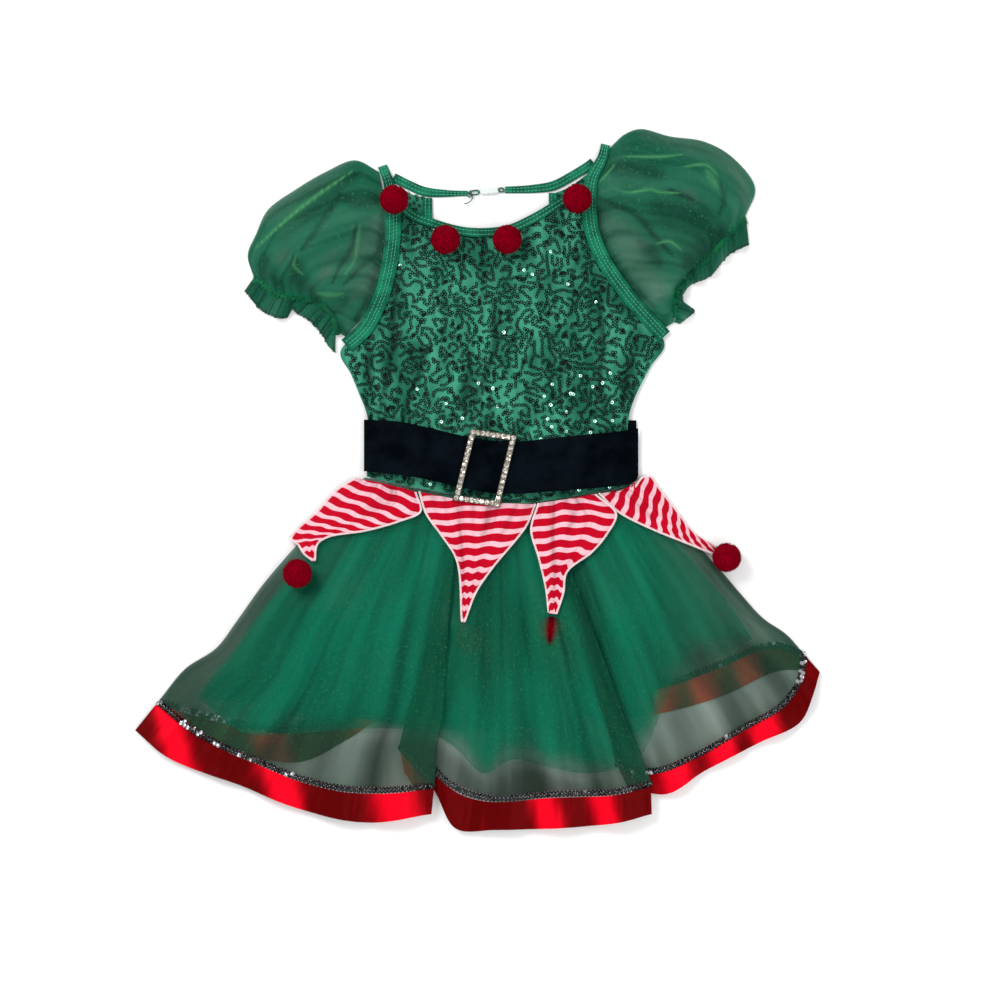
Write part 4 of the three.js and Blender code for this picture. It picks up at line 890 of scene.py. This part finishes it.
# Striped points of the peplum, with white overlocked edges; each has its two sides and the
# middle of its top
peplum = [
    {"name": "One", "node": "peplum_point_1", "cut": (70, 130, 0.60), "shear": -6, "arch": 0,
     "middle": (-110, -34),
     "left": [(-141, -27.5), (-159, -39), (-178, -60), (-198, -78), (-203, -87), (-196, -92), (-190, -101),
              (-181, -108)],
     "right": [(-82, -41), (-77, -60), (-98, -70), (-130, -79), (-166, -85), (-176, -92), (-178, -107)]},
    {"name": "Four", "node": "peplum_point_4", "cut": (55, 120, 0.50), "shear": 24, "arch": 0,
     "middle": (111, -40),
     "left": [(92, -43), (111.5, -61.3), (142, -77), (173, -89.6), (204, -102)],
     "right": [(127, -36), (134, -27), (142, -25), (151.4, -37), (168, -58.7), (184, -79.3), (209, -95)]},
    {"name": "Two", "node": "peplum_point_2", "cut": (100, 130, 0.50), "rise": 0.06, "arch": 0,
     "middle": (-30, -50),
     "left": [(-80, -41), (-73.5, -62), (-58, -84), (-44, -107), (-39, -165)],
     "right": [(33, -53), (24, -74), (-9, -115), (-24, -137), (-35, -165.5)]},
    {"name": "Three", "node": "peplum_point_3", "cut": (80, 115, 0.60), "rise": 0.02, "arch": -5,
     "middle": (62, -48),
     "left": [(34, -52), (27, -77), (34.5, -105), (41, -133), (43.5, -156.5)],
     "right": [(90, -43), (110, -62), (101, -82), (86, -99.8), (62.5, -118), (59, -138), (52.5, -157.5)]},
    {"name": "BackLeft", "node": "peplum_point_back_left", "cut": (85, 125, 0.42), "shear": 0, "arch": 2,
     "middle": (-45, -49), "left": [(-84, -45), (-106, -100), (-127, -160)],
     "right": [(-3, -54), (-72, -98), (-120, -162)]},
    {"name": "BackRight", "node": "peplum_point_back_right", "cut": (85, 125, 0.42), "shear": 0, "arch": 2,
     "middle": (45, -50), "left": [(3, -54), (76, -98), (131, -162)],
     "right": [(84, -46), (114, -100), (138, -160)]},
]
stripe = {"pair": 11.8, "red": rgb(186, 0, 32), "white": rgb(232, 184, 194), "shade": rgb(96, 0, 20)}
overlock = {"step": 1.15, "inset": 0.9, "length": 2.5, "thick": 0.85}


def stripedFinish():
    made = Finish("stripedKnit", {"Roughness": 0.6, "Specular IOR Level": 0.05})
    wobble = made.noise(made.place(), 90.0, 2) * 0.0012
    turn = ((made.along("Y") + wobble) * (2 * math.pi / (stripe["pair"] * mm))).wave()
    pair = made.blend(made.share(turn, -0.44, -0.22), stripe["white"], stripe["red"])
    # The fold mark paints shade, blending the stripes towards a deep red
    made.drive("Base Color", made.blend(made.own("fold") * 0.5, pair, stripe["shade"]))
    made.raised(made.ribs(8000.0, 0.4, 9000.0, 0.4) + made.noise(made.place(), 140.0, 3), 0.3, 0.0005)
    return made


striped = stripedFinish()
whiteThread = Finish("whiteThread", {"Base Color": rgb(246, 226, 228), "Roughness": 0.7, "Sheen Weight": 0.3})
# Creases painted as shade only: they darken the stripes through the fold mark and are not shaped
paintedPointCreases = [  # drawn creases, each (width, amount, points)
    (2.0, 0.9, (-42, -46), (-40, -80), (-37, -118), (-37, -150)),
    (3, 0.6, (-12, -52), (-14, -66), (-20, -84)),
    (3, 0.6, (14, -54), (8, -66), (-2, -84)), (2.6, 0.8, (50, -50), (48, -72), (50, -112), (49, -148)),
    (3, 0.6, (72, -46), (70, -60), (62, -80)), (3, 0.5, (-110, -36), (-116, -50), (-136, -62)),
    (3, 0.6, (118, -40), (126, -50), (146, -68)),
]


def makePoint(row, stitches):
    left, right = Line(*row["left"]), Line(*row["right"])
    top = Line(row["left"][0], row["middle"], row["right"][0])
    u, v = grid(56, 96)
    flat = patch(top, Line(row["left"][-1], row["right"][-1]), left, right)(u, v)
    z = soften(fill(topOf(row["node"], flat[..., 0], flat[..., 1])), 6) - 0.45
    seed = len(row["name"]) + len(row["node"])
    gathers = ripple(u, (4, 7, 11), seed) * (1.3 * np.exp(-v / 0.2) + 0.35) * np.sin(np.pi * u) ** 0.5
    hidden = "Back" in row["name"]
    if not hidden:
        z = z + gathers + 0.5
    made = np.dstack([flat, np.maximum(z, 0.25)])
    x, y = flat[..., 0], flat[..., 1]
    if "rise" in row:
        s = row["rise"] * x - y
    else:
        t = np.linspace(0, 1, 9)
        s = v * Line(*((left.at(t) + right.at(t)) / 2)).length + row["shear"] * (u - 0.5) + 3
    s = s - row["arch"] * np.sin(np.pi * u) + 0.8 * np.sin(u * 19 + v * 3)
    uv = np.stack([u * row["cut"][0], s], -1)
    # Fold mark: painted shade in the gather troughs, along the painted creases and under the waist seam, and
    # darker along both side edges
    edges = 0.3 * np.exp(-u / 0.06) + 0.3 * np.exp(-(1 - u) / 0.06)
    mark = np.clip(-gathers, 0, 1) + strokes(x, y, paintedPointCreases) + 0.5 * np.exp(-v / 0.05) + edges
    addSheet("point" + row["name"], made, striped, [row["node"]], cut=row["cut"], uv=uv,
             marks={"fold": np.clip(mark, 0, 1)})
    for side, inward in ((0, 1.0), (-1, -1.0)):
        edge = made[:, side]
        run = runOf(edge)
        for k in range(int(run[-1] / overlock["step"])):
            s = (k + 0.5) * overlock["step"]
            here, ahead = pick(edge, run, s, s + 1)
            along = (ahead - here) / max(np.linalg.norm(ahead - here), 1e-6)
            if np.linalg.norm(along) < 0.5:
                continue
            across = np.cross([0, 0, 1.0], along)
            lean = along * 0.45 + across
            place = here + across * overlock["inset"] * inward + [0, 0, 0.35]
            stitches.append((place, facing([0, 0, 1.0], lean)))


def makePeplum():
    stitches = []
    for row in peplum:
        makePoint(row, stitches)
    thread = threadShape(overlock["length"], overlock["thick"])
    addMany("overlockStitches", thread, stitches, whiteThread)
    print("peplum", len(stitches))


makePeplum()


# Puff sleeves of sheer organza with creases that run from the armhole to the cuff
sleeves = [
    {"name": "Left", "cut": (175, 140, 0.75), "seed": 4, "ruffle": (110, 20),
     "frill": (150, 22, 0.9),
     "armhole": [(-115.8, 266.3), (-110.4, 235), (-110.4, 204), (-115.4, 169), (-121.4, 146.2), (-131.8, 126),
                 (-148.8, 106)],
     "top": [(-118, 266), (-141, 277), (-169, 266), (-198, 249), (-225, 229), (-236, 206), (-244, 186),
             (-238, 164)],
     "cuff": [(-238, 164), (-212, 149), (-180, 143), (-166, 134), (-159, 122), (-158, 112)],
     "under": [(-150, 108), (-158, 112)],
     "gather": [(-239.3, 162.7), (-212.6, 147.8), (-180.9, 141.7), (-167.3, 132.9), (-160.5, 121.3),
                (-159.7, 106.7)],
     "hem": [(-247, 152), (-231, 133), (-212, 125), (-205, 127), (-202.5, 135), (-198, 131), (-184, 122),
             (-174, 111), (-166, 98), (-160, 92)],
     "dark": [(4, 0.7, (-155, 244), (-160, 235), (-175, 212), (-191, 191)),
              (9, 0.8, (-112, 239), (-136, 236), (-152, 240)),
              (2.6, 0.9, (-139, 215), (-144, 191), (-156, 172), (-162, 158)),
              (3, 0.8, (-114, 193), (-134, 174), (-151, 157)),
              (9, 0.8, (-198, 180), (-194, 162), (-177, 145)),
              (9, 0.7, (-226, 184), (-226, 168), (-212, 156)),
              (5, 0.9, (-114, 228), (-117, 186), (-127, 146), (-140, 124)),
              (12, 0.7, (-150, 140), (-160, 128), (-152, 112)),
              (10, 0.4, (-142, 262), (-180, 226), (-212, 200))],
     "bright": [(2.4, 0.9, (-144, 266), (-182, 239), (-208, 218), (-236, 193)),
                (2, 0.6, (-136, 212), (-141, 180), (-150, 166)),
                (1.6, 0.5, (-196, 186), (-199, 176), (-190, 166)),
                (2.4, 0.5, (-152, 148), (-164, 147), (-178, 149))],
     "windows": [(12, 0.9, (-150, 276), (-194, 249), (-230, 220)),
                 (14, 1.0, (-120, 218), (-128, 200), (-144, 182)),
                 (11, 1.0, (-120, 172), (-134, 156), (-142, 146)), (8, 0.9, (-160, 190), (-172, 162)),
                 (6, 1.0, (-205, 192), (-214, 178))]},
    {"name": "Right", "cut": (195, 160, 0.75), "seed": 9, "ruffle": (95, 18),
     "frill": (140, 20, 0.9),
     "armhole": [(104, 289.5), (92, 262), (86, 228), (94, 198), (109, 168), (131, 144), (156, 116)],
     "top": [(104, 289.5), (118, 302), (133, 307), (161, 300), (194, 295), (221, 280), (243, 250),
             (233, 222)],
     "cuff": [(233, 222), (212, 202), (192, 182), (174, 163), (164, 148), (163.5, 135), (166, 122)],
     "under": [(156, 116), (166, 122)],
     "gather": [(234.3, 221.2), (213.1, 200.9), (193.1, 180.9), (175.3, 162.1), (165.6, 147.3),
                (165.1, 134.7), (167.7, 120.7)],
     "hem": [(237, 196), (218, 186), (199, 165), (181, 157), (173.5, 147), (175, 139), (185, 133),
             (171, 120)],
     "dark": [(3, 0.9, (90, 242), (111, 232), (131.5, 221), (144, 205), (164, 184)),
              (9, 0.8, (132, 197), (140, 190), (150, 178)),
              (24, 0.6, (150, 232), (168, 218), (190, 222)), (14, 0.7, (104, 268), (124, 266), (150, 262)),
              (3, 0.7, (209, 254), (213, 241), (208, 225)), (2.4, 0.9, (160, 248), (172, 243), (182, 238)),
              (14, 0.8, (176, 176), (192, 192), (210, 206)),
              (5, 0.9, (90, 230), (98, 196), (118, 164), (146, 136))],
     "bright": [(1.7, 0.9, (116, 280), (153, 280), (172, 282)),
                (1.7, 0.9, (105, 250), (122, 245), (141, 248), (153, 245), (172, 245)),
                (1.7, 0.8, (174, 270), (196, 272), (206, 263)), (1.5, 0.7, (108, 272), (93, 255)),
                (1.7, 0.7, (148, 196), (160, 198), (172, 190)),
                (4, 0.6, (196, 266), (202, 258), (206, 250))],
     "windows": [(12, 0.9, (135, 303), (178, 293), (206, 285), (228, 262), (234, 236)),
                 (17, 1.0, (96, 226), (110, 208), (132, 196)),
                 (16, 1.0, (118, 184), (138, 166), (150, 146)), (8, 0.8, (176, 246), (184, 236))]},
]


def makeSleeve(row):
    side, seed = row["name"].lower(), row["seed"]
    u, v = grid(160, 72)
    flat = patch(*[Line(*row[key]) for key in ("armhole", "cuff", "top", "under")])(u, v)
    low = np.dstack([flat, np.full(u.shape, 0.55)])
    uv = np.stack([u * row["cut"][0], v * row["cut"][1]], -1)
    crumple = np.sin(np.pi * u) ** 0.4
    folds = ripple(u + 0.03 * np.sin(4 * v + seed), (7, 11, 16), seed)
    x, y = flat[..., 0], flat[..., 1]
    # Dark strokes sink creases and paint shade into them; bright strokes raise ridges and paint highlights on
    # them; windows thin the cloth and grey the layer beneath (grey floor tone and painted shadow); the under
    # layer gets painted shade in its fold troughs
    dark, bright, window = [strokes(x, y, row[key]) for key in ("dark", "bright", "windows")]
    thin = np.clip(0.2 * window, 0, 0.3)
    addSheet("sleeve%sUnder" % row["name"], low, sleeveCloth, ["sleeve_%s_lower" % side],
             cut=row["cut"], uv=uv,
             marks={"fold": np.clip(-folds, 0, 1) * 0.4, "thin": 0.8 * thin, "floorToneAndShadow": 0.25 * window})
    z = soften(fill(topOf("sleeve_%s_upper" % side, x, y)), 8) - 0.5
    fine = ripple(u, (23, 31, 41), seed + 1) * (np.exp(-v / 0.12) + np.exp(-(1 - v) / 0.12))
    slant = np.sin(x * 0.07 + y * 0.05 + 2 * np.sin(y * 0.03 + seed))
    swell = folds * 0.9 * np.sin(np.pi * np.clip(v, 0.06, 1)) ** 0.5
    z = z + crumple * (swell + fine * 0.9 + slant * 0.6 + 1.6 * bright - 1.6 * dark)
    points = np.dstack([flat, np.maximum(z, 1.4)])
    # Fold mark: painted shade in fold troughs, fine gathers and dark strokes
    mark = 0.3 * np.clip(-folds, 0, 1) + 0.4 * np.clip(-fine, 0, 1) + 0.9 * dark
    addSheet("sleeve%s" % row["name"], points, sleeveCloth, ["sleeve_%s_upper" % side],
             cut=row["cut"], uv=uv,
             marks={"fold": np.clip(mark, 0, 1), "thin": thin, "paintedHighlight": np.clip(0.5 * bright, 0, 1)})


def makeCuff(row):
    side, gather = row["name"].lower(), Line(*row["gather"])
    ends = [Line(row["gather"][k], row["hem"][k]) for k in (0, -1)]
    u, v = grid(260, 16)
    flat = patch(gather, Line(*row["hem"]), *ends)(u, v)
    uv = np.stack([u * 180, v * 24], -1)
    # The under layer is darkened evenly through the fold mark: painted shade under the ruffle
    addSheet("cuff%sUnder" % row["name"], np.dstack([flat, np.full(u.shape, 0.5)]), sleeveCloth,
             ["cuff_ruffle_%s_lower" % side], cut=(*row["ruffle"], 1.0), uv=uv, marks={"fold": 0.4 + 0 * u})
    z = soften(fill(topOf("cuff_ruffle_%s_upper" % side, flat[..., 0], flat[..., 1])), 4) - 0.5
    edgeWave = ripple(u, (16, 23, 29), row["seed"] + 3)
    way = gather.heading(u[0])
    spread = np.stack([way[:, 1], -way[:, 0]], -1)[None] * (edgeWave * v ** 2 * 1.6)[..., None]
    spread = -spread if side == "left" else spread
    points = np.dstack([flat + spread, np.maximum(z + edgeWave * v * 1.4, 1.0)])
    # Fold mark: painted shade in the troughs of the frill and towards the gather, and darker along the hem
    # edge
    mark = np.clip(-edgeWave, 0, 1) + 0.35 * (1 - v) + 0.8 * ease(0.88, 0.96, v)
    addSheet("cuff%s" % row["name"], points, sleeveCloth, ["cuff_ruffle_%s_upper" % side],
             cut=row["frill"], uv=uv, marks={"fold": mark})


shirring = {"count": 90, "low": 2.6, "swell": 0.9, "length": 8.4, "thick": 1.9}


def makeShirring(row):
    # Shirred elastic under the gathers, as short ribs across the cuff line
    t, gather = np.linspace(0.01, 0.97, shirring["count"]), Line(*row["gather"])
    where, way = gather.at(t), gather.heading(t)
    ribs = []
    for k in range(len(t)):
        z = shirring["low"] + shirring["swell"] * math.sin(math.pi * t[k])
        across = np.array([way[k][1], -way[k][0], 0.15 * chance.normal()])
        lean = across + 0.3 * chance.normal(size=3) * [1, 1, 0]
        ribs.append((np.array([*where[k], z]) - across * 0.5, facing([0, 0, 1.0], lean)))
    rib = threadShape(shirring["length"], shirring["thick"], 6)
    addMany("shirring%s" % row["name"], rib, ribs, darkBand)


# Bands: bound edges and neck bands with rows of stitches
band = {"thick": 1.3, "pucker": 0.25, "folded": 1.25}
stitch = {"length": 2.6, "gap": 0.9, "thick": 0.7}


def bandFinish(name, light, deep):
    made = Finish(name, {"Roughness": 0.5, "Specular IOR Level": 0.1})
    made.drive("Base Color", made.mottle(70.0, 4, deep, light))
    made.raised(made.ribs(5600.0, 0.35, 6400.0, 0.35) + made.noise(made.place(), 260.0, 3), 0.4, 0.0005)
    return made


greenBand = bandFinish("greenBinding", rgb(12, 116, 84), rgb(0, 72, 54))
darkBand = bandFinish("gatheredGreen", rgb(12, 96, 58), rgb(0, 52, 34))
greenThread = Finish("greenThread", {"Base Color": rgb(64, 170, 130), "Roughness": 0.6, "Sheen Weight": 0.3})


def addBand(name, node, line, wide, start, over, seed):
    # A flattened tube with rounded edges on the top of its solid
    count = int(line.length)
    t = np.linspace(0.0, 1.0, count)
    width = mix(start, wide, ease(0, over, t))[:, None]
    middle, way = line.at(t), line.heading(t)
    side = np.stack([-way[:, 1], way[:, 0]], -1)
    profile = [(-0.5, 0.45), (-0.46, 0.85), (-0.3, 1.0), (-0.1, 0.96), (0.1, 0.96), (0.3, 1.0), (0.46, 0.85),
               (0.5, 0.45), (0.46, 0.1), (0.0, 0.0), (-0.46, 0.1)]
    across = (-0.5, 0, 0.5)
    tops = [topOf(node, *(middle + side * (w * 0.94 * width)).T) for w in across]
    heights = soften(fill(np.array(tops)), 3)
    rings = []
    for w, h in profile:
        z = np.array([np.interp(w, across, heights[:, n]) for n in range(count)])
        pucker = band["pucker"] * ripple(t, (count / 9, count / 6), seed) * (h - 0.5)
        z = np.maximum(z - band["thick"] * (1 - h) + pucker, 0.1)
        rings.append(np.column_stack([middle + side * (w * width), z]))
    made, size = np.stack(rings, 1), len(profile)
    faces = gridFaces(count, size, around=True).tolist()
    faces += [list(range(size))[::-1], [(count - 1) * size + k for k in range(size)]]
    piece = addPiece(name, made.reshape(-1, 3), faces, greenBand, [node])
    uv = np.stack([np.repeat(t * line.length, size), np.tile([p[0] * wide for p in profile], count)], -1)
    putUv(piece.data, uv)
    band["folded"] * wide * mm
    return made


def stitchRows(made, offsets, wide, stitches):
    step = stitch["length"] + stitch["gap"]
    middle = (made[:, 3] + made[:, 4]) / 2
    side = (made[:, 6] - made[:, 1]) / (0.92 * wide)
    for offset in offsets:
        path = middle + side * offset
        path[:, 2] = made[:, 1:7, 2].max(1) + 0.08
        run = runOf(path)
        for k in range(int(run[-1] / step)):
            s = (k + 0.5) * step
            here, ahead = pick(path, run, s, s + 1)
            if np.linalg.norm(ahead - here) > 0.3:
                stitches.append((here, facing([0, 0, 1.0], ahead - here)))


armholes = [
    Line((-114.7, 271.5), (-108, 253), (-104.5, 226), (-105, 197), (-110, 166), (-117, 143), (-131, 116),
         (-149, 99)),
    Line((99.5, 292), (96.5, 280), (86, 258), (83.5, 232), (87, 206), (99, 178), (120, 148), (141, 124),
         (156, 108)),
]
neckBands = [
    Line((-33, 245.4), (-52, 245.2), (-74, 247), (-90, 253.5), (-104, 260.5)),
    Line((3, 248.6), (30, 249.6), (49, 252.6), (65.5, 260.8), (80, 269.6), (87.6, 275)),
]


def makeBands():
    bound = [
        ("neckBinding", "neck_binding_front", Line(*neckline), 8.6, 8.6, 0.3),
        ("armholeLeft", "armhole_binding_left", armholes[0], 15, 9, 0.28),
        ("armholeRight", "armhole_binding_right", armholes[1], 14, 9, 0.28),
        ("neckBandLeft", "neck_band_back_left", neckBands[0], 9, 5, 0.6),
        ("neckBandRight", "neck_band_back_right", neckBands[1], 9, 6.5, 0.5),
    ]
    half = [0.03, 0.08, 0.16, 0.26, 0.38]
    around = []
    for v in [*half, 0.5, *[1 - h for h in reversed(half)]]:
        angle = math.pi * v
        reach = keyholeReach * abs(math.cos(angle)) ** 0.45 * math.copysign(1, math.cos(angle))
        around.append((keyholeMiddle - reach, mix(241.8, 246.6, v) - 98.5 * math.sin(angle) ** 0.9))
    keyhole = Line((around[0][0], 240.8), *around, (around[-1][0], 245.6))
    bound.append(("keyholeBinding", "keyhole_binding", keyhole, 9, 9, 0.3))
    stitches = []
    for n, (name, node, line, wide, start, over) in enumerate(bound):
        made = addBand(name, node, line, wide, start, over, n)
        offsets = (-3.4, 0.4, 3.2) if wide > 10 else (-2.0, 1.6)
        stitchRows(made, offsets, wide, stitches)
    thread = threadShape(stitch["length"], stitch["thick"])
    addMany("bindingStitches", thread, stitches, greenThread)
    print("bands", len(stitches))


for sleeveRow in sleeves:
    makeSleeve(sleeveRow)
    makeCuff(sleeveRow)
    makeShirring(sleeveRow)
makeBands()


# Belt elastic and its buckle of stones
beltRows = [  # x, top, bottom, z
    (-131.4, 28, -21.5, 2.8), (-132.4, 28, -21.5, 5.2), (-129.4, 28, -21.5, 9.4), (-121, 27.5, -22.5, 11.6),
    (-98, 26, -25, 12.5), (-69, 20, -30, 12.5), (-40, 13, -37, 12.5), (-12, 8, -42, 12.5),
    (14, 7, -43, 12.5), (46, 10, -41, 12.5), (84, 14, -38, 12.5), (106, 16, -36, 11.8),
    (120, 18, -34, 9.6), (127.5, 19, -31, 7.0), (130.6, 20, -26, 4.6), (130.6, 21, -23, 2.8),
]
belt = {"front": (275, 50, 1.0), "back": (262, 50, 1.0), "across": (-127, 129), "down": (27.4, -22.4),
        "backTop": 1.5}
buckle = {"wide": 45, "high": 71, "at": (-16.3, -18.2, 13.6), "lean": -0.242, "skew": 0.1,
          "stones": (8, 12, 8, 12)}


def elasticFinish():
    made = Finish("blackElastic", {"Roughness": 0.9, "Specular IOR Level": 0.01})
    made.drive("Base Color", made.mottle(45.0, 4, rgb(2, 5, 9), rgb(9, 15, 21)))
    made.raised(made.ribs(6000.0, 0.3, 3600.0, 0.8) + made.noise(made.place(), 300.0, 2), 0.4, 0.0004)
    return made


def makeBelt():
    elastic = elasticFinish()
    top, bottom = [Line(*[(r[0], r[k], r[3]) for r in beltRows]) for k in (1, 2)]
    t = np.linspace(0, 1, 260)
    a, b = top.at(t), bottom.at(t)
    v = np.concatenate([[0, 0.008], np.linspace(0.03, 0.97, 22), [0.992, 1]])[:, None, None]
    surface = a[None] * (1 - v) + b[None] * v
    roll = 1 - np.minimum(1, np.minimum(v, 1 - v) / 0.025) ** 0.5
    surface[..., 2] += 0.75 - 0.8 * roll[..., 0] + 0.25 * np.sin(t * 9 + 1)[None] * np.sin(np.pi * v[..., 0])
    uv = np.stack(np.broadcast_arrays(t[None] * 280, v[..., 0] * 50), -1)
    inner = surface.copy()
    inner[..., 2] -= 1.4 - 1.2 * roll[..., 0]
    for name, sheet, nodes in (("beltFront", surface, ["belt_front"]), ("beltInside", inner, [])):
        addSheet(name, sheet, elastic, nodes, cut=belt["front"], uv=uv)
    u, w = grid(60, 12)
    flat = np.dstack([mix(*belt["across"], u), mix(*belt["down"], w), belt["backTop"] + 0 * u])
    addSheet("beltBack", flat, elastic, ["belt_back"], cut=belt["back"],
             uv=np.stack([u * 260, w * 50], -1))


def onBuckle(sx, sy, inset, z):
    lean = buckle["lean"]
    x, y = sx * (buckle["wide"] / 2 - inset), sy * (buckle["high"] / 2 - inset)
    y += x * buckle["skew"]
    turned = (x * math.cos(lean) - y * math.sin(lean), x * math.sin(lean) + y * math.cos(lean))
    return np.array([buckle["at"][0] + turned[0], buckle["at"][1] + turned[1], buckle["at"][2] + z])


def stoneFinish():
    made = Finish("stones", {"Roughness": 0.04, "Metallic": 0.65, "Coat Weight": 1.0, "Coat Roughness": 0.02})
    # Painted reflections: random cells of each stone lighter and darker, as facets catching the light
    paintedFacetGlints = made.node("ShaderNodeSeparateColor", inputs=[made.cells(made.place(), 900.0, "Color")])
    made.drive("Base Color", made.blend(made.share(paintedFacetGlints, 0.2, 0.9), rgb(150, 138, 118), rgb(255, 254, 246)))
    return made


def makeBuckle():
    metal = Finish("buckleMetal", {"Base Color": rgb(112, 106, 98), "Roughness": 0.25, "Metallic": 1.0})
    stone, lean = stoneFinish(), buckle["lean"]
    corners = [(-1, 1), (1, 1), (1, -1), (-1, -1)]
    loop = []
    for n, count in enumerate(buckle["stones"]):
        (ax, ay), (bx, by) = corners[n], corners[(n + 1) % 4]
        loop += [(mix(ax, bx, k / count), mix(ay, by, k / count)) for k in range(count)]
    profile = [(0.2, 0.2), (0.0, 0.8), (0.4, 1.6), (2.0, 1.9), (4.0, 1.9), (5.6, 1.6), (6.0, 0.8), (5.8, 0.2)]
    frameVerts = [onBuckle(sx, sy, inset, z) for sx, sy in loop for inset, z in profile]
    count, size, faces = len(loop), len(profile), []
    for i in range(count):
        a, b = i * size, (i + 1) % count * size
        faces += [(a + k, b + k, b + (k + 1) % size, a + (k + 1) % size) for k in range(size)]
    addPiece("buckleFrame", frameVerts, faces, metal, ["buckle"])
    gems, claws = [], []
    for sx, sy in loop:
        middle = onBuckle(sx, sy, 3.0, 1.9)
        up = np.array([0, 0, 1.0]) + 0.13 * chance.normal(size=3)
        gems.append((middle + [0, 0, 0.3], facing(up, [math.cos(lean), math.sin(lean), 0])))
        for k in range(4):
            a = math.pi / 4 + k * math.pi / 2 + lean
            way = np.array([math.cos(a), math.sin(a), 0])
            claws.append((middle + 2.35 * way + [0, 0, 0.8], facing([0, 0, 1.0], way)))
    gem = ringShape([(2.2, -0.2), (2.75, 0.25), (2.5, 0.8), (1.4, 1.6), (0.01, 1.61)], 8)
    addMany("stones", gem, gems, stone, smooth=False)
    addMany("claws", threadShape(1.1, 0.9, 5), claws, metal)


# Pompoms: a core and many fine fibres
pompoms = {  # by name, the end of the node's name and the number of fibres
    "NeckOne": ("neck_1", 1500), "NeckTwo": ("neck_2", 1500), "NeckThree": ("neck_3", 1500),
    "NeckFour": ("neck_4", 1500), "PointOne": ("point_1", 1500), "PointFour": ("point_4", 1500),
    "PointTwo": ("point_2", 500), "PointThree": ("point_3", 500),
    "BackLeft": ("back_left", 400), "BackRight": ("back_right", 400),
}
yarn = {"rings": 18, "sides": 32, "root": 0.99, "lowest": 1.0, "fibre": (2.6, 0.28, 3)}


def yarnFinish():
    made = Finish("redYarn", {"Roughness": 1.0, "Specular IOR Level": 0.01})
    made.drive("Base Color", made.mottle(900.0, 3, rgb(98, 0, 14), rgb(138, 0, 25)))
    made.raised(made.noise(made.place(), 1400.0, 3), 0.6, 0.0006)
    return made


def makePompom(name, node, fibreCount, red):
    low, high = [np.array(c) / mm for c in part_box(node)]
    middle, reach = (low + high) / 2, (high - low) / 2
    rings, sides, verts = yarn["rings"], yarn["sides"], []
    for j in range(rings + 1):
        tilt = math.pi * j / rings
        ring, rise = math.sin(tilt), 0.98 * math.cos(tilt)
        for k in range(sides):
            a = 2 * math.pi * k / sides
            lump = 1.0 + 0.02 * math.sin(5 * a + 3 * tilt) * ring + 0.012 * math.sin(9 * a - 4 * tilt) * ring
            verts.append(middle + reach * lump * [ring * math.cos(a), ring * math.sin(a), rise])
    addPiece("pompom" + name, verts, gridFaces(rings + 1, sides, around=True), red, [node])
    fibres = []
    for _ in range(fibreCount):
        way = chance.normal(size=3)
        way /= np.linalg.norm(way)
        lean = way + 0.8 * chance.normal(size=3)
        root = middle + reach * way * yarn["root"]
        if root[2] > yarn["lowest"]:
            fibres.append((root, facing(np.cross(way, [0.3, 0.5, 0.8]) + 1e-3, lean)))
    addMany("fuzz" + name, threadShape(*yarn["fibre"]), fibres, red)


def makePompoms():
    red = yarnFinish()
    for name, (node, fibreCount) in pompoms.items():
        makePompom(name, "pompom_" + node, fibreCount, red)
    print("pompoms")


def makeFastening():
    # The clasp keeps its solid; its loops are elastic cord, and a tied thread hangs beside it
    clear = Finish("clearPlastic", {"Roughness": 0.12, "Coat Weight": 0.4, "Alpha": 0.85})
    haze = clear.noise(clear.place(), 300.0, 3)
    clear.drive("Base Color", clear.blend(haze, rgb(206, 222, 216), rgb(246, 250, 248)))
    cord = Finish("greenCord", {"Roughness": 0.8, "Sheen Weight": 0.2})
    twist = cord.noise(cord.place(), 900.0, 2)
    cord.drive("Base Color", cord.blend(twist, rgb(4, 40, 32), rgb(24, 110, 84)))
    for node, finish in (("neck_clasp", clear), ("elastic_loop_left", cord), ("elastic_loop_right", cord)):
        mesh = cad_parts[node].data
        mesh.materials.clear()
        mesh.materials.append(finish.material)
    knot = [(-34, 243.5), (-31, 246.5), (-28.4, 243.6), (-31.6, 241.4), (-33.6, 245.0),
            (-29.6, 246.0), (-28.6, 240.0), (-31.5, 236.5), (-36, 235.2)]
    line = Line(*[(x, y, 2.4 + 0.7 * math.sin(n * 2.1)) for n, (x, y) in enumerate(knot)])
    t, verts, sides, thick = np.linspace(0, 1, 60), [], 6, 0.55
    for place, way in zip(line.at(t), line.heading(t)):
        turn = facing(np.cross(way, [0.2, 0.3, 0.9]), way)
        verts += [place + thick * (c * turn[1] + s * turn[2]) for c, s in circle(sides)]
    addPiece("tiedThread", verts, gridFaces(len(t), sides, around=True), cord)


makeBelt()
makeBuckle()
makePompoms()
makeFastening()


setTheShot()
